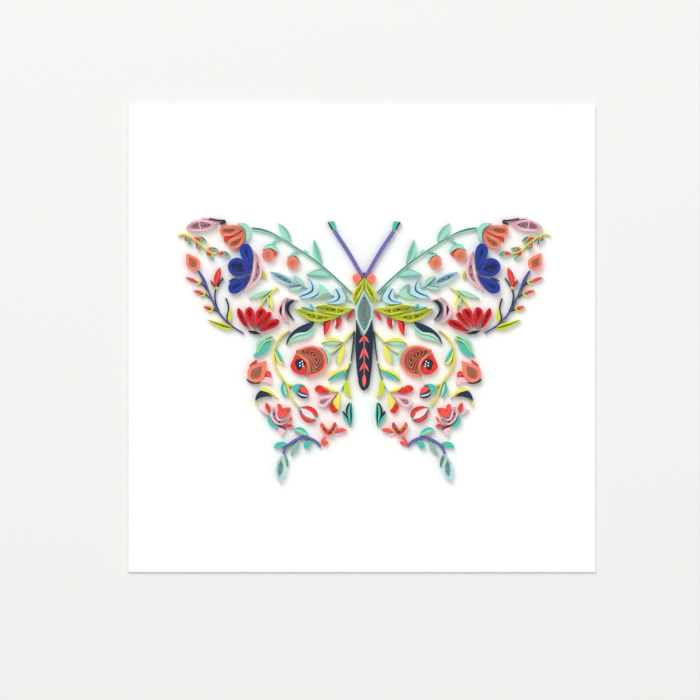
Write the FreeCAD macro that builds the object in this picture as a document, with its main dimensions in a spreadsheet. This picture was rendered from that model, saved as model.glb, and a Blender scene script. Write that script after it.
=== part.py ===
import FreeCAD, Part
import math
import os

# Quilled paper butterfly on a folded greeting card, in millimetres.
# The card lies on its back with its face up along +Z, the butterfly's head points along +Y,
# and the origin is under the middle of the card, on the surface that it lies on.
# The butterfly is drawn on a squared pattern sheet: across counts squares outwards from
# the butterfly's axis and up counts squares from the card's middle, for the left wings.
# The right wings are the same paper shapes turned over.

SIZES = [
    ("card_side", 152.4, "side of the square card, six inches"),
    ("card_leaf", 0.4, "thickness of the card stock"),
    ("fold_gap", 0.3, "air between the two leaves of the folded card"),
    ("grid_pitch", 1.0, "side of one square of the pattern sheet"),
    ("axis_shift", 0.8, "how far the butterfly's axis lies to the right of the card's middle"),
    ("coil_rise", 3.0, "width of the strips that the coils are rolled from"),
    ("leaf_rise", 2.4, "width of the strips that the leaves and small petals are made of"),
    ("stem_rise", 1.9, "width of the strips that the stems and twigs are made of"),
    ("glue_gap", 0.06, "space between neighbouring paper pieces"),
    ("vine_breadth", 0.85, "strips glued side by side in the vine along the front edge"),
    ("branch_breadth", 0.55, "breadth of the indigo branch"),
    ("sprig_breadth", 0.5, "breadth of the yellow and lime sprig stems"),
    ("twig_breadth", 0.38, "breadth of the thin twigs"),
    ("calyx_breadth", 0.45, "breadth of the folded strips at the foot of the buds"),
    ("hook_breadth", 0.45, "breadth of the hooks that hold the berries"),
    ("antenna_breadth", 1.1, "breadth of the three strips of an antenna"),
    ("tail_breadth", 0.8, "breadth of the arched tail stem"),
    ("border_breadth", 0.35, "breadth of the strip beside the abdomen"),
    ("berry_radius", 2.05, "radius of the two berries under the vine"),
    ("drop_radius", 2.3, "radius of the coral bud's round end on the fore wing"),
    ("hind_drop_radius", 3.0, "radius of the coral bud's round end on the hind wing"),
    ("bloom_radius", 3.1, "radius of the blue flower's middle petal"),
    ("trumpet_radius", 1.9, "radius of the pink coil in the trumpet flower"),
    ("eye_radius", 1.5, "radius of the eye coils"),
    ("facet_sag", 0.11, "how far a short straight facet may stray from the curve that it follows"),
    ("smallest_scrap", 0.12, "area below which an offcut isn't used"),
]

doc = FreeCAD.newDocument("QuilledButterfly")
sheet = doc.addObject("Spreadsheet::Sheet", "Sizes")
for row, (alias, value, meaning) in enumerate(SIZES, start=1):
    sheet.set("A%d" % row, meaning)
    sheet.set("B%d" % row, str(value))
    sheet.setAlias("B%d" % row, alias)
doc.recompute()

CARD_TOP = "2 * Sizes.card_leaf + Sizes.fold_gap"
UP = FreeCAD.Vector(0, 0, 1)


def size(alias):
    """Give one driving size from the sheet."""
    return float(sheet.get(alias))


PITCH = size("grid_pitch")
AXIS = size("axis_shift")
# A drop's tip lies at least this many radii from its centre
TIP_PULL = 1.1


def squares(millimetres):
    """Turn a length into squares of the pattern sheet."""
    return millimetres / PITCH


def on_card(spot):
    """Place a spot of the left wings' pattern on the card."""
    across, up = spot
    return FreeCAD.Vector(AXIS - across * PITCH, up * PITCH, 0)


# Outlines on the pattern sheet

def facets(curve):
    """Follow a curve with as few straight facets as its sag allows."""
    return curve.toShape().discretize(Deflection=size("facet_sag"))


def run_places(spots):
    """Places along a run: a straight line between two spots, else one smooth curve through them."""
    places = [on_card(spot) for spot in spots]
    if len(places) == 2:
        return places
    curve = Part.BSplineCurve()
    curve.interpolate(places)
    return facets(curve)


def flat_face(runs):
    """Make the flat face inside runs of places that meet at their ends."""
    ring = [place for run in runs for place in run[:-1]]
    return Part.Face(Part.makePolygon(ring + [ring[0]]))


def grown(face):
    """Grow a face by the glue gap, or by a hair more or less where that very offset fails."""
    for share in (1.0, 1.1, 0.9, 1.2):
        try:
            return face.makeOffset2D(size("glue_gap") * share)
        except (ValueError, Part.OCCError):
            continue
    raise ValueError("a face could not be grown by the glue gap")


class Shape:
    """A closed outline of smooth runs that meet at corners."""

    def __init__(self, *runs):
        self.runs = runs

    def face(self):
        """Make the flat face inside the outline."""
        return flat_face([run_places(run) for run in self.runs])


class Loop:
    """A closed outline with no corner."""

    def __init__(self, *spots):
        self.spots = spots

    def face(self):
        """Make the flat face inside the outline."""
        curve = Part.BSplineCurve()
        curve.interpolate([on_card(spot) for spot in self.spots], PeriodicFlag=True)
        return flat_face([facets(curve)])


class Lens(Shape):
    """A leaf between two tips, each side an arc that stands off the line between them."""

    def __init__(self, start, end, outer, inner):
        along_x, along_y = end[0] - start[0], end[1] - start[1]
        length = math.hypot(along_x, along_y)
        middle = ((start[0] + end[0]) / 2, (start[1] + end[1]) / 2)
        side = (-along_y / length, along_x / length)
        first = (middle[0] + side[0] * outer, middle[1] + side[1] * outer)
        second = (middle[0] - side[0] * inner, middle[1] - side[1] * inner)
        super().__init__([start, first, end], [end, second, start])


class Strip:
    """Paper strips glued side by side along a path, seen from above."""

    def __init__(self, breadth, *path):
        self.half = squares(breadth) / 2
        self.path = path

    def face(self):
        """Make the flat face that the strips cover."""
        last = len(self.path) - 1
        near, far = [], []
        for index, (across, up) in enumerate(self.path):
            before = self.path[max(index - 1, 0)]
            after = self.path[min(index + 1, last)]
            along_x, along_y = after[0] - before[0], after[1] - before[1]
            reach = self.half / math.hypot(along_x, along_y)
            near.append((across - along_y * reach, up + along_x * reach))
            far.append((across + along_y * reach, up - along_x * reach))
        far.reverse()
        ends = [run_places([near[-1], far[0]]), run_places([far[-1], near[0]])]
        return flat_face([run_places(near), ends[0], run_places(far), ends[1]])


class Drop:
    """A coil pinched once: a round end and two straight sides that meet in a tip."""

    def __init__(self, radius, centre, tip):
        self.radius = squares(radius)
        self.centre = centre
        self.tip = tip

    def face(self):
        """Make the flat face inside the outline."""
        away_x, away_y = self.tip[0] - self.centre[0], self.tip[1] - self.centre[1]
        reach = math.hypot(away_x, away_y)
        pulled = max(reach, TIP_PULL * self.radius)
        tip = on_card((self.centre[0] + away_x * pulled / reach, self.centre[1] + away_y * pulled / reach))
        heading = math.atan2(away_y, away_x)
        spread = math.acos(self.radius / pulled)
        rim = []
        for angle in (heading + spread, heading + math.pi, heading - spread):
            step_x, step_y = self.radius * math.cos(angle), self.radius * math.sin(angle)
            rim.append(on_card((self.centre[0] + step_x, self.centre[1] + step_y)))
        return flat_face([facets(Part.Arc(*rim)), [rim[-1], tip], [tip, rim[0]]])


class Ring:
    """A coil left round."""

    def __init__(self, radius, centre):
        self.radius = radius
        self.centre = centre

    def face(self):
        """Make the flat face inside the outline."""
        return flat_face([facets(Part.Circle(on_card(self.centre), UP, self.radius))])


class Pattern:
    """The paper pieces of one side, laid down in order, each shaped to fit those before it."""

    def __init__(self):
        self.groups = {}
        self.taken = []

    def lay(self, node, rise, *outlines):
        """Lay pieces of one group, which stop a glue gap short of what lies there already."""
        for outline in outlines:
            rest = outline.face()
            for other in self.taken:
                if rest.BoundBox.intersect(other.BoundBox):
                    rest = rest.cut(other)
            kept = [face for face in rest.Faces if face.Area > size("smallest_scrap")]
            self.groups.setdefault(node, {}).setdefault(rise, []).extend(kept)
            self.taken.extend(grown(face) for face in kept)

    def coils(self, node, *outlines):
        """Lay rolled coils."""
        self.lay(node, "coil_rise", *outlines)

    def leaves(self, node, *outlines):
        """Lay leaves and petals of strips on edge."""
        self.lay(node, "leaf_rise", *outlines)

    def stems(self, node, *outlines):
        """Lay stems and twigs of strips on edge."""
        self.lay(node, "stem_rise", *outlines)


# Head and body, each half of which is the other's mirror image

def draw_head(paper):
    """Eyes, head spot and antennae."""
    paper.coils("eye", Drop(size("eye_radius"), (2.4, 19.6), (2.6, 17.3)))
    breadth = size("antenna_breadth")
    paper.leaves(
        "antenna",
        Shape(
            [(11.1, 38.1), (9.7, 38.0), (9.2, 36.2), (9.05, 34.8)],
            [(9.05, 34.8), (10.4, 36.1), (11.1, 38.1)],
        ),
        Strip(size("calyx_breadth"), (10.35, 35.5), (10.85, 36.5), (11.7, 37.9)),
        Strip(breadth, (0.55, 20.25), (1.5, 21.7), (3.6, 25.6), (6.0, 29.4), (8.6, 33.1), (9.6, 34.9)),
    )


def draw_shoulders(paper):
    """Lime marquise from the head down beside the thorax."""
    paper.coils(
        "shoulder",
        Shape(
            [
                (0.1, 20.0), (0.8, 19.0), (1.55, 18.0), (2.35, 17.05), (3.3, 15.6), (3.85, 13.9),
                (3.8, 12.5), (2.95, 10.9),
            ],
            [(2.95, 10.9), (2.3, 12.1), (1.3, 14.2), (0.25, 16.1)],
            [(0.25, 16.1), (0.1, 20.0)],
        ),
    )


# Fore wing

def draw_tip(paper):
    """Pink marquise at the wing's tip, its curl, and the sprig below it."""
    paper.coils(
        "tip_bud",
        Shape(
            [(58.4, 35.9), (56.2, 38.0), (54.0, 38.75), (50.6, 38.4), (47.6, 37.6)],
            [(47.6, 37.6), (50.5, 35.3), (54.0, 34.75), (57.0, 34.9), (58.4, 35.9)],
        ),
    )
    breadth = size("sprig_breadth")
    paper.stems(
        "tip_bud",
        Strip(breadth, (53.2, 39.15), (51.0, 39.1), (49.0, 38.75), (47.0, 38.4), (45.2, 38.4)),
        Strip(breadth, (45.0, 37.9), (45.9, 37.6), (47.0, 37.2)),
    )
    paper.leaves(
        "tip_sprig",
        Lens((58.55, 33.4), (57.1, 31.3), 0.42, 0.34),
        Lens((55.4, 32.9), (52.4, 31.9), 0.42, 0.38),
        Lens((54.7, 31.4), (54.2, 29.3), 0.4, 0.4),
        Lens((51.0, 29.3), (49.0, 29.4), 0.35, 0.35),
        Lens((51.2, 28.4), (49.7, 26.2), 0.45, 0.45),
        Lens((47.9, 27.8), (44.9, 27.5), 0.5, 0.5),
    )
    paper.stems(
        "tip_sprig",
        Strip(
            breadth,
            (60.7, 33.3), (58.6, 33.85), (56.5, 33.0), (54.6, 31.8), (52.0, 29.3), (50.2, 28.1),
            (48.2, 27.65),
        ),
    )
    paper.leaves(
        "tip_sprig",
        Lens((58.7, 33.5), (56.3, 30.4), 0.75, 1.0),
        Lens((54.4, 33.1), (51.3, 31.7), 0.75, 0.75),
        Lens((55.0, 31.2), (53.5, 28.4), 0.5, 0.8),
        Lens((50.7, 29.2), (47.7, 29.2), 0.6, 0.65),
        Lens((51.4, 27.9), (48.9, 25.7), 0.8, 0.75),
        Lens((47.3, 27.9), (43.8, 27.3), 0.9, 0.95),
    )


def draw_rose(paper):
    """Two coral teardrop coils in a mint calyx."""
    paper.coils(
        "rose",
        Shape(
            [
                (39.3, 35.2), (40.4, 36.3), (42.0, 36.9), (44.6, 36.85), (46.6, 36.3), (47.1, 35.0),
                (46.7, 33.8), (45.5, 33.2), (42.8, 33.4), (41.2, 34.2), (39.3, 35.2),
            ],
        ),
        Shape(
            [
                (39.1, 35.2), (38.7, 33.4), (39.4, 31.0), (40.8, 29.5), (42.6, 28.95), (44.2, 29.8),
                (44.5, 31.2), (43.6, 32.4), (42.0, 33.1), (40.6, 34.0), (39.1, 35.2),
            ],
        ),
    )
    paper.leaves(
        "rose",
        Shape(
            [(42.4, 33.2), (44.2, 33.1), (45.4, 32.7), (45.5, 31.3)],
            [(45.5, 31.3), (44.3, 32.2), (42.4, 33.2)],
        ),
        Shape(
            [
                (41.4, 37.5), (39.9, 37.7), (38.4, 37.4), (37.1, 35.6), (36.95, 34.0), (37.4, 32.6),
                (38.4, 31.4),
            ],
            [(38.4, 31.4), (38.4, 32.8), (38.4, 34.4), (39.0, 35.8), (40.2, 36.6), (41.4, 37.5)],
        ),
    )


def draw_vine(paper):
    """Mint vine along the front edge, with its hooks, berries and leaves."""
    paper.coils(
        "berries",
        Ring(size("berry_radius"), (31.3, 27.1)),
        Drop(size("berry_radius"), (23.3, 24.5), (23.45, 27.0)),
    )
    hook = size("hook_breadth")
    paper.leaves(
        "berries",
        Lens((29.25, 28.5), (28.8, 26.7), 0.4, 0.5),
        Shape(
            [(33.1, 28.8), (31.8, 30.3), (30.2, 30.8), (28.6, 29.8), (27.8, 27.7)],
            [(27.8, 27.7), (28.9, 28.5), (30.2, 29.3), (31.8, 29.2), (33.1, 28.8)],
        ),
        Strip(hook, (25.0, 26.2), (24.4, 26.85), (23.7, 27.3)),
        Strip(hook, (23.2, 27.35), (22.0, 26.8), (21.2, 25.8), (20.95, 24.8)),
    )
    paper.stems(
        "vine",
        Strip(
            size("vine_breadth"),
            (36.8, 35.9), (34.5, 35.8), (32.0, 35.2), (28.0, 33.05), (24.0, 30.75), (20.0, 28.2),
            (16.0, 25.3), (12.0, 22.1), (9.0, 19.4), (6.0, 16.5), (4.1, 14.8),
        ),
        Strip(hook, (27.2, 32.1), (28.4, 32.2), (29.2, 31.7), (29.9, 31.0)),
        Strip(hook, (21.2, 28.4), (22.2, 28.2), (23.4, 27.6)),
        Strip(hook, (19.7, 28.75), (18.3, 27.9)),
    )
    paper.leaves(
        "vine",
        Shape(
            [(23.9, 31.3), (25.8, 32.4), (27.4, 34.8), (28.0, 37.5)],
            [(28.0, 37.5), (24.5, 34.6), (23.9, 31.3)],
        ),
        Shape(
            [(13.6, 24.2), (16.0, 26.0), (16.9, 29.0), (16.3, 32.2)],
            [(16.3, 32.2), (14.3, 28.0), (13.6, 24.2)],
        ),
        Shape(
            [(10.8, 20.8), (12.2, 22.0), (14.5, 22.6), (16.4, 22.1), (18.8, 20.8)],
            [(18.8, 20.8), (16.5, 20.3), (14.0, 19.8), (12.4, 19.9), (10.8, 20.8)],
        ),
    )


def draw_buds(paper):
    """Coral teardrop bud and small red buds on their indigo branch."""
    paper.coils("coral_drops", Drop(size("drop_radius"), (55.7, 24.5), (57.8, 27.9)))
    paper.leaves(
        "red_buds",
        Lens((58.2, 20.0), (54.0, 18.3), 0.55, 0.5),
        Lens((55.6, 15.6), (52.2, 14.6), 0.55, 0.5),
        Lens((52.3, 10.4), (49.6, 9.6), 0.5, 0.5),
        Shape(
            [(48.5, 16.8), (48.95, 18.6), (48.8, 20.2), (48.2, 21.6), (46.9, 23.1)],
            [(46.9, 23.1), (46.7, 21.2), (47.2, 19.2), (48.5, 16.8)],
        ),
        Lens((50.1, 19.1), (48.8, 16.7), 0.35, 0.45),
    )
    calyx = size("calyx_breadth")
    paper.stems(
        "red_buds",
        Strip(calyx, (54.9, 17.85), (53.8, 17.9), (53.25, 18.4), (53.7, 19.1)),
        Strip(calyx, (53.6, 13.95), (52.4, 14.0), (51.8, 14.6), (52.2, 15.4)),
        Strip(calyx, (51.2, 9.2), (49.8, 9.15), (49.3, 9.8), (50.0, 10.8)),
        Lens((49.0, 16.5), (47.4, 16.4), 0.4, 0.45),
    )
    paper.stems(
        "bud_branch",
        Strip(
            size("branch_breadth"),
            (54.1, 22.1), (52.6, 20.0), (51.6, 18.0), (50.9, 16.0), (49.9, 13.0), (48.8, 11.0),
            (47.7, 9.0), (45.7, 6.4), (43.0, 3.95), (41.0, 2.7), (39.2, 1.55),
        ),
    )
    twig = size("twig_breadth")
    paper.stems(
        "bud_branch",
        Strip(twig, (53.3, 18.1), (52.4, 17.3), (51.7, 16.6), (51.2, 15.6)),
        Strip(twig, (51.7, 14.3), (51.0, 13.8), (50.2, 13.1)),
        Strip(twig, (49.1, 9.3), (48.4, 9.0), (47.8, 8.7)),
        Strip(calyx, (48.3, 15.9), (48.65, 14.0), (48.45, 12.0), (47.9, 10.0), (47.2, 8.7)),
        Strip(twig, (47.6, 16.8), (46.9, 18.3), (45.9, 19.6)),
        Strip(calyx, (45.0, 13.1), (44.3, 11.0), (44.15, 9.2), (44.65, 7.4), (44.4, 5.4)),
    )
    paper.leaves(
        "lime_blades",
        Shape(
            [(50.9, 6.1), (47.5, 5.4), (45.0, 4.8), (42.7, 3.2)],
            [(42.7, 3.2), (46.0, 3.1), (48.5, 4.3), (50.9, 6.1)],
        ),
        Shape(
            [(44.2, 11.3), (43.6, 9.6), (43.2, 7.6), (43.9, 5.1)],
            [(43.9, 5.1), (44.5, 6.8), (44.4, 9.0), (44.2, 11.3)],
        ),
    )


def draw_blue_flower(paper):
    """Three blue petals whose tips meet, in a pink sepal."""
    paper.coils(
        "blue_flower",
        Drop(size("bloom_radius"), (41.3, 23.2), (36.9, 21.2)),
        Shape(
            [
                (36.9, 21.5), (36.4, 23.4), (36.1, 26.0), (36.3, 28.8), (37.9, 30.9), (39.8, 30.4),
                (40.5, 28.8), (40.1, 26.6), (38.6, 24.0), (36.9, 21.5),
            ],
        ),
        Shape(
            [
                (36.9, 20.9), (37.6, 19.0), (38.8, 17.0), (40.6, 15.1), (42.4, 14.5), (44.1, 15.4),
                (44.3, 17.2), (43.2, 18.6), (41.0, 19.5), (36.9, 20.9),
            ],
        ),
    )
    paper.leaves("blue_flower", Lens((44.2, 18.6), (41.4, 19.7), 0.35, 0.35))
    paper.coils(
        "sepals",
        Shape(
            [
                (35.5, 28.7), (34.0, 26.4), (33.1, 23.0), (33.2, 20.6), (34.5, 18.4), (37.2, 16.3),
                (39.8, 14.9),
            ],
            [(39.8, 14.9), (38.3, 17.0), (36.9, 19.6), (36.2, 22.8), (35.9, 26.0), (35.5, 28.7)],
        ),
    )
    paper.leaves("sepals", Lens((32.7, 21.9), (32.5, 19.1), 0.5, 0.6))


def draw_sky_buds(paper):
    """Pale blue marquise and two bent coils in a row, with mint leaves."""
    paper.coils(
        "sky_buds",
        Shape(
            [(31.0, 22.0), (27.5, 21.4), (24.8, 20.3), (22.4, 18.6), (20.9, 17.3)],
            [(20.9, 17.3), (23.5, 17.0), (27.0, 18.1), (29.3, 19.6), (31.0, 22.0)],
        ),
        Shape(
            [
                (18.3, 19.6), (17.0, 18.7), (15.6, 16.6), (15.0, 15.1), (16.6, 13.7), (19.5, 13.0),
                (21.3, 13.4),
            ],
            [(21.3, 13.4), (20.4, 14.8), (18.7, 15.8), (17.9, 16.9), (18.3, 19.6)],
        ),
        Shape(
            [
                (9.5, 16.1), (8.6, 16.45), (7.5, 16.0), (6.3, 14.2), (5.9, 13.1), (6.8, 11.8),
                (8.8, 11.1), (10.5, 11.1), (12.2, 11.9),
            ],
            [(12.2, 11.9), (10.3, 12.7), (9.6, 13.6), (9.8, 14.7), (9.5, 16.1)],
        ),
    )
    paper.leaves(
        "sky_buds",
        Shape(
            [(23.2, 20.3), (21.5, 19.9), (20.1, 18.6), (19.9, 16.9)],
            [(19.9, 16.9), (21.4, 18.2), (23.2, 20.3)],
        ),
        Shape([(24.8, 16.1), (22.3, 15.5), (20.0, 16.9)], [(20.0, 16.9), (22.3, 16.9), (24.8, 16.1)]),
        Shape(
            [
                (14.8, 17.9), (12.8, 16.8), (11.9, 15.8), (11.4, 14.3), (12.8, 13.3), (15.3, 12.8),
                (17.4, 13.0),
            ],
            [(17.4, 13.0), (15.4, 13.8), (14.3, 14.6), (13.8, 15.8), (14.8, 17.9)],
        ),
    )
    twig = size("twig_breadth")
    paper.stems(
        "sky_buds",
        Strip(twig, (19.8, 16.9), (19.0, 16.5), (18.3, 16.3)),
        Strip(twig, (11.3, 14.2), (10.5, 13.9), (9.8, 13.8)),
        Strip(twig, (7.2, 16.5), (6.1, 14.9), (5.5, 13.4)),
        Strip(twig, (5.7, 12.8), (4.1, 12.1)),
    )


def draw_poppy(paper):
    """Five red petals that fan out from a navy base, and the sprig above them."""
    paper.leaves("poppy", Lens((37.9, 2.5), (33.6, 1.4), 0.65, 0.5))
    paper.coils(
        "poppy",
        Shape(
            [
                (36.9, 2.9), (38.8, 3.5), (40.7, 6.0), (41.6, 8.4), (41.0, 10.1), (39.9, 9.2),
                (38.6, 6.5), (36.9, 2.9),
            ],
        ),
        Shape(
            [
                (36.4, 2.9), (38.2, 6.4), (38.9, 8.6), (38.1, 9.95), (36.8, 10.2), (35.8, 8.9),
                (35.8, 6.0), (36.4, 2.9),
            ],
        ),
        Shape(
            [
                (36.0, 2.9), (35.8, 4.4), (35.5, 6.0), (35.4, 8.6), (34.3, 9.7), (32.7, 9.75),
                (31.9, 8.8), (33.4, 6.2), (34.8, 4.4), (36.0, 2.9),
            ],
        ),
        Shape(
            [
                (35.5, 2.9), (34.4, 4.5), (33.0, 6.2), (31.7, 8.5), (30.7, 8.7), (30.0, 7.9),
                (30.8, 6.2), (32.5, 4.5), (34.2, 3.5), (35.5, 2.9),
            ],
        ),
        Shape(
            [
                (34.9, 2.6), (32.4, 4.3), (31.0, 5.6), (29.6, 6.2), (28.1, 6.3), (27.4, 5.2),
                (28.3, 3.8), (30.5, 2.8), (32.8, 2.1), (34.9, 2.6),
            ],
        ),
    )
    paper.leaves(
        "fore_sprig",
        Lens((30.4, 14.3), (30.2, 9.2), 0.55, 0.55),
        Lens((31.4, 14.2), (30.9, 10.1), 0.5, 0.5),
    )
    paper.stems(
        "fore_sprig",
        Strip(
            size("sprig_breadth"),
            (28.0, 16.5), (29.3, 15.8), (30.5, 14.8), (32.2, 13.0), (33.7, 10.9), (34.2, 9.9),
        ),
    )
    paper.leaves("fore_sprig", Lens((37.6, 13.0), (30.1, 15.7), 0.75, 0.8))


def draw_crescents(paper):
    """Pink and navy crescent coils between the poppy and the blades."""
    paper.coils(
        "sepals",
        Shape(
            [(22.6, 12.2), (24.4, 12.0), (25.5, 10.3), (25.0, 8.1), (22.7, 5.8)],
            [(22.7, 5.8), (24.0, 7.9), (24.5, 9.9), (23.9, 11.2), (22.6, 12.2)],
        ),
        Shape(
            [(24.2, 13.8), (26.6, 12.6), (28.1, 10.6), (28.5, 8.5), (27.6, 6.6), (24.0, 5.0)],
            [(24.0, 5.0), (25.5, 7.2), (25.9, 9.5), (25.4, 12.0), (24.2, 13.8)],
        ),
    )
    paper.stems("sepals", Strip(size("twig_breadth"), (24.2, 12.9), (23.0, 12.85), (21.6, 12.5)))


def draw_blades(paper):
    """Lime blades from the body, teal slivers on them, and red teeth below."""
    paper.coils(
        "lime_blades",
        Shape(
            [(23.0, 10.1), (20.0, 9.7), (17.6, 9.0), (14.6, 8.3), (11.0, 7.9), (7.5, 7.3)],
            [(7.5, 7.3), (10.0, 6.3), (12.4, 5.6), (15.0, 5.3), (18.2, 6.1), (21.0, 8.0), (23.0, 10.1)],
        ),
        Shape(
            [(16.7, 10.6), (14.0, 10.9), (11.8, 11.0), (9.0, 10.5), (6.0, 10.1), (2.9, 9.7)],
            [(2.9, 9.7), (5.0, 8.6), (8.0, 7.5), (11.0, 7.5), (14.0, 8.3), (16.7, 10.6)],
        ),
    )
    paper.leaves(
        "lime_blades",
        Lens((20.5, 10.25), (16.3, 9.1), 0.35, 0.4),
        Lens((17.7, 11.2), (16.6, 9.9), 0.4, 0.4),
    )
    paper.leaves(
        "red_teeth",
        Lens((3.2, 9.1), (5.8, 5.8), 0.6, 0.6),
        Lens((7.5, 7.3), (8.8, 3.0), 0.75, 0.7),
        Shape(
            [(10.8, 6.1), (12.0, 5.6), (13.0, 5.3)],
            [(13.0, 5.3), (13.2, 3.2), (12.8, 0.9)],
            [(12.8, 0.9), (11.3, 3.4), (10.8, 6.1)],
        ),
        Lens((13.5, 4.3), (13.1, 1.4), 0.3, 0.35),
        Lens((9.4, 6.4), (9.5, 3.4), 0.25, 0.35),
    )


# Hind wing

def draw_hind_sprig(paper):
    """Lime sprig that leaves the body, with yellow, mint and teal leaves."""
    paper.leaves(
        "hind_sprig",
        Shape(
            [(6.7, -1.35), (8.5, -0.2), (10.5, 0.25), (12.5, -0.4), (13.9, -1.6)],
            [(13.9, -1.6), (10.5, -0.95), (6.7, -1.35)],
        ),
        Shape([(13.5, -1.75), (10.5, -1.05), (7.1, -1.5)], [(7.1, -1.5), (10.5, -2.1), (13.5, -1.75)]),
        Shape(
            [(6.7, -2.1), (7.7, -3.4), (8.5, -5.3), (8.75, -8.5)],
            [(8.75, -8.5), (7.7, -7.6), (6.7, -5.6), (6.35, -3.8), (6.7, -2.1)],
        ),
        Shape(
            [(7.7, -3.1), (8.9, -4.6), (9.45, -6.3), (8.95, -8.3)],
            [(8.95, -8.3), (8.6, -5.9), (7.7, -3.1)],
        ),
        Shape(
            [(5.0, -8.2), (6.2, -9.7), (8.0, -10.3), (10.0, -10.8), (11.3, -12.0), (11.8, -13.6)],
            [(11.8, -13.6), (9.6, -11.8), (7.5, -10.8), (5.6, -10.2), (5.0, -8.2)],
        ),
        Shape(
            [(5.5, -10.4), (7.5, -10.95), (9.4, -11.9), (11.6, -13.9)],
            [(11.6, -13.9), (9.0, -13.1), (7.0, -12.1), (5.5, -10.4)],
        ),
        Shape(
            [(5.3, -13.0), (6.4, -15.2), (6.55, -16.9), (5.6, -18.4), (4.0, -19.3)],
            [(4.0, -19.3), (4.7, -17.4), (4.95, -15.2), (5.3, -13.0)],
        ),
    )
    paper.stems(
        "hind_sprig",
        Strip(size("sprig_breadth"), (3.4, 2.5), (4.8, 0.9), (6.0, -0.6), (6.6, -1.3)),
        Strip(size("twig_breadth"), (6.8, -1.7), (8.2, -3.0), (9.8, -4.2), (11.1, -4.9)),
    )


def draw_hind_leaves(paper):
    """Leaves of the hind wing, most of them a navy, teal or lime strip with mint beside it."""
    breadth = size("sprig_breadth")
    paper.leaves(
        "hind_leaves",
        Shape(
            [(16.2, 5.5), (17.8, 5.15), (20.0, 4.2), (22.2, 3.1), (24.0, 1.4), (25.0, -0.2), (25.4, -2.1)],
            [(25.4, -2.1), (24.2, 0.3), (22.2, 2.0), (19.4, 2.3), (17.8, 3.4), (16.2, 5.5)],
        ),
        Shape(
            [(16.0, 5.1), (16.3, 2.8), (18.0, 0.5), (20.0, -0.2), (22.4, -0.7), (25.1, -2.1)],
            [(25.1, -2.1), (23.6, 0.3), (21.6, 1.7), (19.2, 1.9), (17.3, 3.1), (16.0, 5.1)],
        ),
        Strip(breadth, (29.4, -0.1), (30.5, -0.4), (31.8, -0.9), (33.0, -1.8), (34.0, -3.0), (34.8, -4.6)),
        Shape(
            [(30.0, 0.7), (31.2, 1.0), (32.6, 0.7), (34.1, -0.2), (35.1, -1.9), (35.1, -4.5)],
            [(35.1, -4.5), (33.6, -2.1), (32.0, -0.6), (30.0, 0.7)],
        ),
        Shape([(30.3, -0.8), (33.4, -2.5), (36.1, -5.9)], [(36.1, -5.9), (33.3, -5.5), (30.3, -0.8)]),
        Shape(
            [(28.8, -3.2), (28.5, -5.2), (27.7, -6.9), (26.2, -7.8)],
            [(26.2, -7.8), (27.1, -5.6), (28.8, -3.2)],
        ),
        Shape(
            [(28.95, -3.4), (28.85, -5.8), (28.2, -7.5), (27.0, -8.35), (25.9, -8.1)],
            [(25.9, -8.1), (27.6, -7.1), (28.5, -5.4), (28.95, -3.4)],
        ),
        Shape(
            [(26.4, -14.1), (27.2, -16.8), (25.4, -19.4)],
            [(25.4, -19.4), (26.35, -16.8), (26.4, -14.1)],
        ),
        Shape(
            [(26.2, -14.4), (26.25, -16.8), (25.3, -19.3)],
            [(25.3, -19.3), (25.2, -16.8), (26.2, -14.4)],
        ),
        Shape(
            [(35.5, -20.3), (35.0, -18.4), (33.7, -17.1), (32.0, -17.7), (30.0, -19.1)],
            [(30.0, -19.1), (32.0, -18.9), (34.0, -19.5), (35.5, -20.3)],
        ),
        Shape(
            [(34.1, -16.8), (32.0, -16.2), (30.3, -17.1), (28.0, -19.6)],
            [(28.0, -19.6), (31.2, -17.6), (34.1, -16.8)],
        ),
        Strip(breadth, (35.4, -20.6), (35.2, -21.2), (34.8, -21.9)),
        Strip(breadth, (4.7, -21.1), (5.5, -22.3), (5.8, -23.3), (5.7, -24.3)),
        Shape(
            [(4.2, -20.8), (5.2, -22.6), (5.35, -24.5), (4.95, -27.0), (4.4, -29.1)],
            [(4.4, -29.1), (3.85, -27.0), (3.65, -24.2), (4.2, -20.8)],
        ),
        Strip(breadth, (6.9, -23.8), (6.2, -24.6), (5.5, -25.5), (5.1, -26.2)),
        Shape(
            [(7.1, -24.2), (6.8, -25.7), (6.1, -26.9), (4.8, -28.1)],
            [(4.8, -28.1), (5.6, -25.9), (7.1, -24.2)],
        ),
    )


def draw_hind_vine(paper):
    """Lime vine from the fore wing down to the tulip."""
    breadth = size("branch_breadth")
    paper.stems(
        "hind_vine",
        Strip(
            breadth,
            (24.3, 2.7), (26.0, 1.5), (27.6, -0.2), (28.7, -2.2), (29.25, -4.5), (29.35, -7.0),
            (28.9, -9.0), (27.8, -11.3), (26.2, -13.5), (25.0, -15.4), (24.4, -17.6), (23.0, -20.4),
            (21.4, -22.3),
        ),
        Strip(breadth, (24.8, -15.0), (24.2, -15.2), (23.5, -15.4)),
    )


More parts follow.
